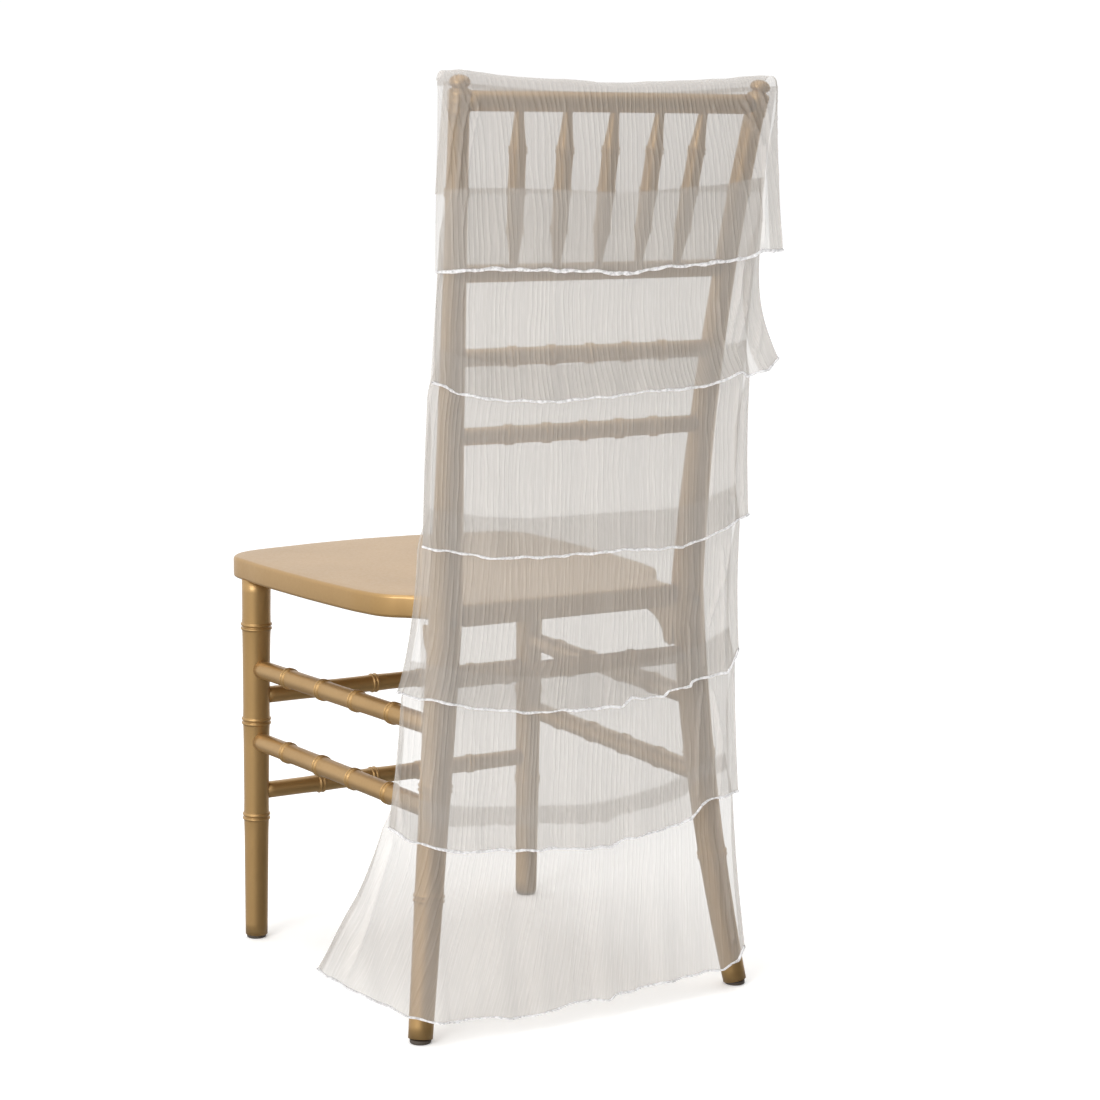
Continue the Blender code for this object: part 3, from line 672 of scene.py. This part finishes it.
# %% Smooth noise
def smooth_noise(across, down, seed):
    """Value noise from -1 to 1: random numbers on a lattice of unit squares, blended with 3t^2 - 2t^3."""
    table = np.random.default_rng(seed).uniform(-1, 1, (257, 61))
    column, row = np.floor(across).astype(int), np.floor(down).astype(int)
    s, t = ease(across - column), ease(down - row)
    a, b = table[column % 257, row % 61], table[(column + 1) % 257, row % 61]
    c, d = table[column % 257, (row + 1) % 61], table[(column + 1) % 257, (row + 1) % 61]
    return (a * (1 - s) + b * s) * (1 - t) + (c * (1 - s) + d * s) * t


# %% [markdown]
# A crinkle is a long narrow ridge that runs the whole height of a tier. The ridges lie at even steps of a
# phase across the cloth. The phase is bent sideways by slow noise, so the lines wander and stand closer or
# wider, and each line is stronger or fainter than the next and fades in and out along its length.

# %% Crinkles
CRINKLE_PITCH = 0.0057
CRINKLE_HALF_WIDTH = 0.00095


def crinkle(q, z, seed, fine=0.10):
    """Height from 0 to 1 of crinkles at q across the cloth and height z. The phase is (q + wander) / pitch,
    and a line is exp(-(distance from the nearest whole phase / half width)^2) times its own strength. fine
    is the height of a low, finer set between them."""
    wander = 0.0019 * smooth_noise(q / 0.035, z / 0.042, seed + 1)
    wander = wander + 0.0007 * smooth_noise(q / 0.011, z / 0.015, seed + 2)
    phase = (q + wander) / CRINKLE_PITCH + 0.6 * smooth_noise(q / 0.017, 0 * z, seed + 3)
    line = np.round(phase)
    strength = ease(0.66 + 0.60 * smooth_noise(line, z / 0.080, seed + 4))
    ridge = np.exp(-((phase - line) * CRINKLE_PITCH / CRINKLE_HALF_WIDTH) ** 2)
    between = smooth_noise((q + wander) / 0.0021, z / 0.060, seed + 5)
    return strength * ridge + fine * np.exp(-(between / 0.24) ** 2)


# %% [markdown]
# Each tier is a rectangle with a slightly flared side or two. Its row of numbers gives the edges at the
# top and at the hem, how the flare runs, how far it tucks in behind the tier above, how deep its upright
# folds are, and how far its two sides are folded back. A second table gives the hem's height at places
# across, and where two of them stand close together the cloth has a pleat there and the hem steps.

# %% The tiers in numbers
TIER_COLUMNS = (
    "left_top", "left_hem", "left_flare", "right_top", "right_hem", "right_flare", "overlap", "folds",
    "left_back", "right_back",
)
TIERS = {
    "cover_tier_1": (0.1945, 0.1832, 0.75, -0.1800, -0.2060, 1.2, 0.000, 0.0010, 0.000, 0.014),
    "cover_tier_2": (0.1790, 0.1782, 1.0, -0.1810, -0.2154, 4.0, 0.075, 0.0012, 0.007, 0.020),
    "cover_tier_3": (0.1790, 0.1810, 1.0, -0.1850, -0.1937, 1.5, 0.034, 0.0012, 0.007, 0.016),
    "cover_tier_4": (0.1820, 0.2054, 3.0, -0.1870, -0.1862, 1.0, 0.038, 0.0016, 0.007, 0.014),
    "cover_tier_5": (0.1950, 0.2169, 1.3, -0.1865, -0.1852, 1.0, 0.034, 0.0016, 0.007, 0.012),
    "cover_tier_6": (0.2120, 0.2986, 1.5, -0.1810, -0.1870, 1.0, 0.042, 0.0022, 0.004, 0.004),
}
HEMS = {
    # x from the chair's left to its right, and the height at each, in millimetres
    "cover_tier_1": (
        (178.8, 164.9, 134.5, 81.8, 55.9, 22, -8.6, -25, -63.3, -81.9, -122.1, -159.2, -182.2, -208.2),
        (741.2, 743.1, 743.7, 742.7, 740.6, 740.8, 736.4, 737.5, 741.9, 742.8, 744.5, 748.6, 755, 755.6),
    ),
    "cover_tier_2": (
        (178.2, 165.6, 151, 137.4, 115, 60.6, 29, -6.8, -42, -71.2, -111.5, -136.7, -170.7, -179, -202.1,
         -215.4),
        (640, 635.5, 628.4, 625, 621.2, 616.6, 617, 618.3, 620.3, 622.3, 621.5, 625.5, 635.1, 630.5, 636.9,
         648),
    ),
    "cover_tier_3": (
        (181, 142.6, 99.1, 24.7, -28, -110.4, -137.2, -168.8, -193.7),
        (484, 475, 466.9, 464.5, 465.5, 462.3, 468.8, 478.8, 490),
    ),
    "cover_tier_4": (
        (205.4, 193.5, 169.1, 143, 116.2, 62.7, 35, -7.4, -40.3, -52.3, -91.4, -97, -125.5, -126.2, -170.3,
         -186.2),
        (346.1, 341, 335.1, 327.5, 321.6, 312.6, 311.5, 309.8, 308.1, 315.5, 312.2, 318, 320, 323.8, 328.3,
         352),
    ),
    "cover_tier_5": (
        (216.9, 199, 181.1, 154.2, 114.6, 48.1, 1, -25.4, -44.2, -89, -123, -137, -156, -185.2),
        (216.5, 204, 196.4, 186, 182.2, 176.1, 171.2, 168.5, 175.1, 177, 183.7, 196, 200.5, 204),
    ),
    "cover_tier_6": (
        (298.6, 290, 250.4, 206.2, 170.2, 126.6, 91.4, 53.6, 22, -13.2, -20, -61.7, -108.1, -154, -178,
         -187),
        (94.5, 86, 60.4, 34.2, 21.6, 21.5, 15.5, 16.7, 21.7, 18.1, 21.5, 23.2, 24.4, 25.9, 30.5, 42),
    ),
}
TIER_NAMES = list(TIERS)
SEAM_TUCK = 0.008

# %% Shape of one tier
def tier_row(name):
    return dict(zip(TIER_COLUMNS, TIERS[name]))


def hem_at(name, x):
    """Height of the hem at x: straight between the measured places, with a small ripple of two waves."""
    places, heights = (np.array(row) / 1000 for row in HEMS[name])
    index = TIER_NAMES.index(name)
    ripple = np.sin(x * 165 + index) * np.sin(x * 62 + 2 * index)
    return np.interp(-x, -places, heights) + 0.0010 * ripple


def tier_edge(name, side, v):
    """x of one side edge at v of the way down: the flare power keeps the spread low down, and the corner at
    the seam is tucked in by 8 mm under the tier above."""
    row = tier_row(name)
    tuck = SEAM_TUCK * (name != TIER_NAMES[0]) * (1 - ease(v / 0.24)) * (-1 if side == "left" else 1)
    return row[side + "_top"] + (row[side + "_hem"] - row[side + "_top"]) * v ** row[side + "_flare"] + tuck


def tier_x(name, share, v):
    left = tier_edge(name, "left", v)
    return left + (tier_edge(name, "right", v) - left) * share


def tier_width(name):
    """Distance between a tier's side edges, halfway down."""
    return abs(tier_edge(name, "right", 0.5) - tier_edge(name, "left", 0.5))


def tier_top(name, x):
    """Height of a tier's top seam at x: the fold over the chair back, or a fixed lap behind the hem above."""
    index = TIER_NAMES.index(name)
    if index == 0:
        return cover_top(x) - ARCH_HEIGHT
    above = TIER_NAMES[index - 1]
    soft = sum(hem_at(above, x + step) for step in (-0.03, -0.015, 0.0, 0.015, 0.03)) / 5
    return soft + tier_row(name)["overlap"]


def tier_folds(name, x, v):
    """Soft upright folds that open towards the hem: three waves, limited inwards."""
    index = TIER_NAMES.index(name)
    waves = ((96, 1.0, 1.9), (171, 0.6, 4.4), (57, 0.4, -1.9))
    total = sum(size * np.sin(x * pitch + shift * index) for pitch, size, shift in waves)
    return tier_row(name)["folds"] * np.maximum(v ** 1.4 * total, -0.7)


def stand_off(name, v):
    """How far a tier hangs behind the posts: the hood opens evenly, the others mostly near the hem."""
    if name == TIER_NAMES[0]:
        return POST_CLEARANCE + (HEM_STAND_OFF - POST_CLEARANCE) * v
    return TIER_CLEARANCE + (HEM_STAND_OFF - TIER_CLEARANCE) * v ** 2


def slant(name, x, z):
    """How the crinkles lean: the hood's lines run down and away from the left post's top, and more
    steeply towards the right post."""
    if name != "cover_tier_1":
        return 0.0 * x
    depth = np.clip(cover_top(x) - z, 0, 1)
    pull = np.interp(x, (-0.18, -0.12, 0.0, 0.10, 0.17), (0.9, 0.55, 0.10, 0.25, 0.45))
    return pull * 0.06 * np.exp(-depth / 0.06)


# %% [markdown]
# The larger creases are placed one by one, each where the cloth shows it: the hood gathers towards the right
# post's top, and beside the right post the loose cloth falls in a few soft folds. A crease follows a line
# of measured places and is a soft ridge across it. Where it turns over, the cloth is doubled and paler.

# %% Main creases
CREASES = {
    # tier: (heights downwards, x at each, half width, rise: all in millimetres, density)
    "cover_tier_1": (
        ((908, 896, 881, 853), (-133.1, -143.7, -153.3, -169.2), 2.4, 3, 0.8),
        ((902, 884, 861), (-128, -145.8, -167.2), 1.8, 2, 0.65),
        ((863, 822, 757), (-169.2, -173.4, -180), 2.2, 3, 0.7),
        ((903, 891, 867), (-97.6, -105.7, -116.9), 1.6, 1.5, 0.35),
        ((853, 823), (-136.5, -149.7), 1.5, 1.2, 0.35),
        ((847, 826), (-152.8, -165.6), 1.5, 1.2, 0.35),
        ((904, 862, 821), (172, 176.3, 177.2), 2, 1.8, 0.35),
        ((908, 871, 808), (160, 165.5, 166.5), 1.6, 1.5, 0.4),
        ((900, 850, 780), (150, 157, 159), 1.6, 1.2, 0.35),
        ((914, 891, 844), (-155.3, -168, -180.7), 2, 2.5, 0.45),
    ),
    "cover_tier_2": (
        ((752, 707, 678, 657), (-160.1, -158.6, -153.8, -151.1), 2.2, 3, 0.5),
        ((752, 697, 656), (-168.5, -168.3, -160), 3, 4, 0.5),
        ((715, 673, 656), (-133.2, -141.2, -151.5), 1.8, 1.5, 0.35),
        ((690, 662, 641), (-188.9, -188.3, -179.7), 3, 3, 0.45),
    ),
    "cover_tier_3": (
        ((635, 578, 500), (-148.2, -145.2, -144.6), 1.8, 2, 0.4),
        ((635, 577, 500), (-170, -170.7, -173.8), 2.5, 3, 0.4),
        ((620, 535, 500), (-178.6, -182.8, -185.2), 2.5, 3, 0.45),
    ),
    "cover_tier_4": (
        ((475, 415, 330), (-141.7, -143.4, -143.3), 1.8, 1.8, 0.35),
        ((460, 403, 330), (-165, -166.9, -166.5), 2, 2.5, 0.5),
        ((474, 438, 403, 370), (-174, -171.5, -158.3, -145.3), 2, 2.5, 0.35),
        ((385, 315), (-125.3, -125.5), 1.6, 2, 0.35),
    ),
    "cover_tier_5": (
        ((325, 272, 200), (-144.5, -136.8, -131.9), 2, 2.5, 0.45),
        ((315, 259, 200), (-155.4, -165.1, -159.2), 2.5, 3, 0.4),
        ((338, 281, 215), (203.4, 206.6, 203.9), 2.5, 3, 0.35),
    ),
    "cover_tier_6": (
        ((200, 145, 45), (-159, -164.6, -173.2), 3, 3.5, 0.35),
        ((210, 150, 80), (208.8, 233.6, 268.7), 4, 4, 0.25),
    ),
}
CREASE_RISE = 1.2
CREASE_DENSITY = 1.4
CREASE_END = 0.012


def main_creases(name, x, z):
    """Rise and density of a tier's creases: the sum of rise * exp(-(sideways distance / half width)^2),
    each eased in and out over 12 mm at its ends."""
    rise, dense = 0.0 * x, 0.0 * x
    for heights, places, *sizes, pale in CREASES[name]:
        heights, places, (half_width, height) = (np.array(part) / 1000 for part in (heights, places, sizes))
        away = x - np.interp(z, heights[::-1], places[::-1])
        ends = ease((heights[0] - z) / CREASE_END) * ease((z - heights[-1]) / CREASE_END)
        rise = rise + CREASE_RISE * height * ends * np.exp(-(away / half_width) ** 2)
        core = ends * np.exp(-(away / (0.6 * half_width)) ** 2)
        dense = np.maximum(dense, CREASE_DENSITY * pale * core)
    return rise, dense


# %% [markdown]
# A tier's sides are folded back on themselves towards the chair, as wide as the table says. Across the
# sheet runs s: from 0 to 1 the tier is seen, and beyond either end the cloth comes back underneath. Along
# the fold, along the side hems and along the lower hem it is doubled, so the stored density rises there.

# %% Points of one tier
FOLD_DEPTH = 0.0014
CRINKLE_RISE = 0.0008
FINE_CRINKLE = 0.10


def tier_points(name, s, v):
    """Points of a tier and its crinkles, for arrays of places across and down: x is mirrored at the side
    edges, and the cloth beyond them lies 1.4 mm nearer the chair. The fold narrows towards the seam. The
    lowest tier has no finer crinkles, and its main ones fade towards the hem."""
    index = TIER_NAMES.index(name)
    back = np.maximum(0, np.maximum(-s, s - 1)) * (0.1 + 0.9 * ease((v - 0.1) / 0.4))
    share = np.where(s < 0, back, np.where(s > 1, 1 - back, s))
    x = tier_x(name, share, v)
    top = tier_top(name, tier_x(name, share, 0.0))
    z = top + (hem_at(name, tier_x(name, share, 1.0)) - top) * v
    width = tier_width(name)
    past = np.maximum(-s, s - 1) * width
    under = FOLD_DEPTH * ease(past / 0.0012)
    lowest = name == TIER_NAMES[-1]
    ridges = crinkle(-s * width - slant(name, x, z), z, 20 * index, 0.0 if lowest else FINE_CRINKLE)
    ridges = ridges * (1 - lowest * (0.1 + 0.6 * v ** 2))
    rise, pale = main_creases(name, x, z)
    seen = past < 0.001
    y = back_face(z) + back_bow(x) + side_curl(x) + stand_off(name, v) + tier_folds(name, x, v)
    points = np.stack([x, y + HALF_CLOTH - under + seen * rise + CRINKLE_RISE * ridges, z], axis=-1)
    return points, ridges + seen * pale, past, (1 - v) * (top - z.min(axis=0, keepdims=True))


# %% Density of the cloth
DOUBLED = 0.55
HEM_BAND = 0.0045
SIDE_BAND = 0.0028
FOLD_BAND = 0.0011


def cloth_density(ridges, fold_past, from_hem, from_side, plain):
    """Share from 0 to 1. A crinkle adds its height to the density of the plain cloth, and a side fold, a
    side hem or a lower hem brings it near that of doubled cloth."""
    density = plain + 0.92 * ridges
    band = ease(1.4 - from_hem / HEM_BAND)
    side = 0.7 * ease(1.4 - from_side / SIDE_BAND)
    fold = 0.6 * np.exp(-(fold_past / FOLD_BAND) ** 2)
    edge = np.maximum(np.maximum(band, side), fold)
    return np.clip(density * (1 - 0.75 * edge) + DOUBLED * edge, 0, 1)


def flat_size(points):
    """Mean length across and mean length down of a sheet, along its own surface, in metres."""
    across = np.linalg.norm(np.diff(points, axis=1), axis=-1).sum(axis=1).mean()
    down = np.linalg.norm(np.diff(points, axis=0), axis=-1).sum(axis=0).mean()
    return float(across), float(down)


def flat_places(points):
    """Each point's place on the flat cloth: even steps across and down of the flat size."""
    rows, columns = points.shape[:2]
    width, length = flat_size(points)
    u, v = np.meshgrid(np.linspace(0, width, columns), np.linspace(length, 0, rows))
    return np.stack([u, v], axis=-1)


# %% Rolled hem
def rolled_hem(name, edge, radius, seed):
    """A thin tube along a line of edge points. Its radius swells and shrinks by up to 44 %, in lumps 4 to
    13 mm long."""
    run = np.concatenate([[0], np.cumsum(np.linalg.norm(np.diff(edge, axis=0), axis=1))])
    even = np.arange(0, run[-1], 0.0011)
    path = np.stack([np.interp(even, run, edge[:, axis]) for axis in range(3)], axis=1)
    short = smooth_noise(even / 0.0045, even * 0, seed)
    long = smooth_noise(even / 0.013, even * 0, seed + 1)
    return turn(name, path, radius * (1 + (0.24 * short + 0.2 * long)), 10)


def hang(name, points, density, node, hem_radius=0.0, seed=0):
    """A finished sheet, with its rolled lower hem if it has one, and each point's place on the flat cloth."""
    cloth = add_surface(name + "_cloth", points, flat=flat_places(points), density=density)
    dress(cloth, organza, "sheer_cloth", node)
    if hem_radius > 0:
        dress(rolled_hem(name + "_hem", points[-1], hem_radius, seed), thread, "sheer_cloth")


# %% [markdown]
# The first tier is the hood. Its sheet goes on over the top of the chair's back, in an arch from the back
# to the front, and ends in a short lip that laps over the front flap. The left corner is puffed out over
# the post's finial and rounded off, so the crest falls away there and the sheet comes in again in front.

# %% The hood's fold over the top
PUFF_START = 0.1820
CORNER_START = 0.1835
CORNER_WIDTH = 0.0110
CORNER_DROP = 0.0100
FLAP_ROOM = 0.0030
LIP_DROPS = np.array([0.006, 0.004, 0.002])


def over_the_top(back):
    """Rows of points before the tier's first row: from the front lip, over half an ellipse between front
    and back. Near the left corner the crest drops with the square of the distance past the corner's start."""
    turns = np.linspace(0, 1, 15)[:, None]
    x = back[:, 0] - (1 - turns) * np.maximum(0, back[:, 0] - PUFF_START)
    front_y = post_back(back[:, 2]) - post_radius(back[:, 2]) - POST_CLEARANCE - FLAP_ROOM
    middle, half = (back[:, 1] + front_y) / 2, (back[:, 1] - front_y) / 2
    corner = CORNER_DROP * np.clip((back[:, 0] - CORNER_START) / CORNER_WIDTH, 0, 1) ** 2
    uneven = 0.0007 * smooth_noise(back[:, 0] / 0.018, 0 * back[:, 0], 71)
    crest = cover_top(back[:, 0]) - corner + uneven
    arch = crest - (crest - back[:, 2]) * (1 - np.sin(np.pi * turns))
    over = np.stack([x, middle - half * np.cos(np.pi * turns), arch], axis=-1)
    lip = np.repeat(over[:1], 3, axis=0) + (0, -0.001, 0)
    lip[:, :, 2] -= LIP_DROPS[:, None]
    return np.concatenate([lip, over[:-1]])


# %% Make the tiers
COLUMNS = 960
ROWS = 60
FIRST_HEM_RADIUS = 0.0016
HEM_RADIUS = 0.0012


def plain_density(index, x, v):
    """Density of the cloth between its crinkles. Tiers 2 to 5 are clearer at the top, where they lie behind
    the tier above. Loose cloth right of the right post and in the lowest tier's flare looks denser."""
    plain = 0.04 if index == 0 else 0.22 * ease((v - 0.15) / 0.12) * (index < 5)
    right_bunch = 0.62 * ease((-0.160 - x) / 0.012) * (index < 3)
    left_flare = 0.25 * ease((x - 0.195) / 0.03) * (index == 5)
    return plain + right_bunch + left_flare


for index, name in enumerate(TIER_NAMES):
    row = tier_row(name)
    width = tier_width(name)
    ends = -row["left_back"] / width, 1 + row["right_back"] / width
    s, v = np.meshgrid(np.linspace(*ends, COLUMNS), np.linspace(0, 1, ROWS))
    points, ridges, past, from_hem = tier_points(name, s, v)
    from_side = np.minimum(s - ends[0], ends[1] - s) * width
    if index == 0:
        from_side = (ends[1] - s) * width
        over = over_the_top(points[0])
        fade = np.linspace(0.0, 0.6, len(over))[:, None]
        points = np.concatenate([over, points])
        ridges = np.concatenate([ridges[:1] * fade, ridges])
        past, from_hem, from_side = (
            np.concatenate([np.repeat(part[:1], len(over), axis=0), part])
            for part in (past, from_hem, from_side)
        )
    density = cloth_density(ridges, past, from_hem, from_side, plain_density(index, points[..., 0], v))
    hang(name, points, density, name, HEM_RADIUS if index else FIRST_HEM_RADIUS, 300 + index)

# %% [markdown]
# ## Lining and front flap
# The lining is the plain sheet that tiers 2 to 6 are sewn on. It starts at the second tier's seam and
# ends a little below the sixth tier's, and where there is a tier in front of it the cloth looks denser.

# %% Lining
LINING_LEFT, LINING_RIGHT = 0.1765, -0.1790
LINING_BELOW = 0.0230
FAR = 1.0

s, v = np.meshgrid(np.linspace(0, 1, 820), np.linspace(0, 1, 110))
x = LINING_LEFT + (LINING_RIGHT - LINING_LEFT) * s
top, low = tier_top("cover_tier_2", x), hem_at("cover_tier_5", x) + LINING_BELOW
z = top + (low - top) * v
ridges = crinkle(x, z, 500)
y = back_face(z) + back_bow(x) + side_curl(x) + LINING_CLEARANCE + HALF_CLOTH + 0.0005 * ridges
from_side = 0.1790 - np.abs(x + 0.00125)
density = cloth_density(0.5 * ridges, FAR + 0 * x, z - low, from_side, 0.08)
hang("cover_lining", np.stack([x, y, z], axis=-1), density, "cover_lining")

# %% [markdown]
# In front of the chair's back the hood ends in a short flap, whose sides turn back round the posts.

# %% Front flap
FLAP_CORNER = 0.0100
FLAP_BELOW_CREST = 0.0100
FLAP_BOTTOM = 0.8125
FLAP_RIDGE = 0.0002


def flap_plan(z, loose):
    """The front flap in plan at each height (rows, 1): forwards along the left side, round a 10 mm corner,
    across the front with upright folds, round the other corner and back along the right side."""
    left = np.interp(z, (0.80, 0.88, 0.93), (0.1765, 0.1785, 0.1800))
    right = np.interp(z, (0.80, 0.88, 0.93), (-0.1800, -0.1795, -0.1800))
    rear = back_face(z) + POST_CLEARANCE - SIDE_CURL - SHEET_GAP
    front = post_back(z) - post_radius(z) - POST_CLEARANCE - HALF_CLOTH
    t = np.linspace(0, 1, 40)[None, :]
    turn_by = np.linspace(0, np.pi / 2, 16)[None, :]
    s = np.linspace(0, 1, 520)[None, 1:-1]
    x_front = left - FLAP_CORNER + (right - left + 2 * FLAP_CORNER) * s
    fold = 0.0010 * loose * (1 + np.sin(x_front * 118)) * np.abs(np.sin(x_front * 37 + 1))
    x_turn, y_turn = FLAP_CORNER * (1 - np.cos(turn_by)), FLAP_CORNER * np.sin(turn_by)
    before = front + FLAP_CORNER
    x = np.hstack([left + 0 * t, left - x_turn, x_front, right + x_turn[:, ::-1], right + 0 * t])
    y = np.hstack([rear + (before - rear) * t, before - y_turn, front - fold, before - y_turn[:, ::-1],
                   before + (rear - before) * t])
    return x, y


down = np.linspace(0, 1, 50)[:, None]
x_top, _ = flap_plan(np.array([[CHAIR_HEIGHT]]), 0.0)
top = cover_top(x_top) - FLAP_BELOW_CREST
z = top + (FLAP_BOTTOM - top) * down
x, y = flap_plan(z.mean(axis=1, keepdims=True), down)
along = np.cumsum(np.hypot(np.gradient(x, axis=1), np.gradient(y, axis=1)), axis=1)
ridges = crinkle(along, z, 900)
outward = np.where(np.abs(x) > 0.1745, np.sign(x), 0.0)
x_out, y_out = outward * FLAP_RIDGE * ridges, (outward == 0) * FLAP_RIDGE * ridges
from_side = np.minimum(along, along[:, -1:] - along)
density = cloth_density(0.4 * ridges, FAR + 0 * x, FAR + 0 * x, from_side, 0.0)
hang("cover_front_flap", np.stack([x + x_out, y - y_out, z], axis=-1), density, "cover_front_panel")

# %% [markdown]
# ## Floor, light and camera
# The chair stands on a wide pale floor in an evenly lit white room. A large soft light from above and a
# second one from the left of the picture give the gold its wide highlights.

# %% Floor and light
def add_floor():
    """A round pale floor 60 m across, out of the gold's reflections, which see the dimmer room below. It
    glows, and from 1 m to 4 m out a little more, so that it stays white where the lamps don't reach."""
    angle = np.linspace(0, 2 * np.pi, 64, endpoint=False)
    radius = np.array([0.0, 1.5, 4.0, 12.0, 30.0])[:, None]
    ring = np.stack([radius * np.cos(angle), radius * np.sin(angle), 0 * radius * angle], axis=-1)
    floor = close_solid(add_surface("pale_floor", ring[::-1] - SHIFT, closed=True))
    material, tree, surface = new_material("matt_white_floor")
    place = add_node(tree, "ShaderNodeTexCoord").outputs["Object"]
    away = add_node(tree, "ShaderNodeVectorMath", {0: place}, operation="LENGTH").outputs["Value"]
    fill(tree, surface, {
        "Base Color": colour("#F9F9F8"),
        "Roughness": 0.9,
        "Emission Color": colour("#FFFFFF"),
        "Emission Strength": remap(tree, away, 1.0, 4.0, 0.22, 0.29),
    })
    floor.data.materials.append(material)
    floor.visible_glossy = False


def put(thing, place, right, up, back):
    """Stands a lamp or camera at a place, looking away from back, and adds it to the scene."""
    turned = Matrix(np.stack([right, up, back], axis=1).tolist()).to_4x4()
    turned.translation = place
    thing.matrix_world = turned
    bpy.context.scene.collection.objects.link(thing)


def add_light(name, place, target, size, power):
    """A square soft light at a place, turned towards a target."""
    light = bpy.data.lights.new(name, "AREA")
    light.shape = "SQUARE"
    light.size = size
    light.energy = power
    back = np.array(place, dtype=float) - np.array(target, dtype=float)
    back /= np.linalg.norm(back)
    right = np.cross((0, 0, 1), back)
    right /= np.linalg.norm(right)
    put(bpy.data.objects.new(name, light), place, right, np.cross(back, right), back)


def make_room():
    """A white room that is dimmer on one side and below: light = 1.04 down to 0.20 as the direction turns
    towards the side behind the photographer's right shoulder, times 1 down to 0.3 below the horizon."""
    world = bpy.data.worlds.new("white_room")
    world.use_nodes = True
    tree = world.node_tree
    towards = add_node(tree, "ShaderNodeTexCoord").outputs["Generated"]
    dim_side = {0: towards, 1: (-0.49, 0.87, 0.05)}
    turned = add_node(tree, "ShaderNodeVectorMath", dim_side, operation="DOT_PRODUCT").outputs["Value"]
    height = add_node(tree, "ShaderNodeSeparateXYZ", {0: towards}).outputs["Z"]
    level = remap(tree, turned, 0.10, 0.85, 1.04, 0.20, "SMOOTHSTEP")
    below = remap(tree, height, -0.45, -0.04, 0.30, 1.0, "SMOOTHSTEP")
    light = add_node(tree, "ShaderNodeMath", {0: level, 1: below}, operation="MULTIPLY").outputs[0]
    fill(tree, tree.nodes["Background"], {"Color": colour("#FFFFFF"), "Strength": light})
    bpy.context.scene.world = world


add_floor()
make_room()
bpy.context.scene.view_settings.view_transform = "Standard"
add_light("soft_above", (0.2, 0.2, 3.2), (0, 0, 0.3), 3.0, 30.0)
add_light("soft_left", (2.7, 1.4, 1.7), (0, 0, 0.5), 1.4, 40.0)

# %% Camera at the photograph's place
CAMERA_PLACE = np.array([1.3604, 2.2333, 0.8507])
YAW, PITCH, ROLL = np.radians([149.0847, -8.4217, 0.0848])
PIXELS_FOCAL = 2685.95
PICTURE = 1100
SENSOR = 36.0


def add_camera():
    """The camera that was fitted to the chair's posts, rails and legs in the photograph."""
    back = np.array([np.sin(YAW) * np.cos(PITCH), -np.cos(YAW) * np.cos(PITCH), -np.sin(PITCH)])
    right = np.cross(-back, (0, 0, 1))
    right /= np.linalg.norm(right)
    up = np.cross(back, right)
    across = right * np.cos(ROLL) + up * np.sin(ROLL)
    above = up * np.cos(ROLL) - right * np.sin(ROLL)
    lens = bpy.data.cameras.new("photo_camera")
    lens.sensor_width = SENSOR
    lens.lens = SENSOR * PIXELS_FOCAL / PICTURE
    camera = bpy.data.objects.new("photo_camera", lens)
    put(camera, CAMERA_PLACE + SHIFT, across, above, back)
    bpy.context.scene.camera = camera
    return camera


camera = add_camera()
print("camera: %.1f mm lens" % camera.data.lens)
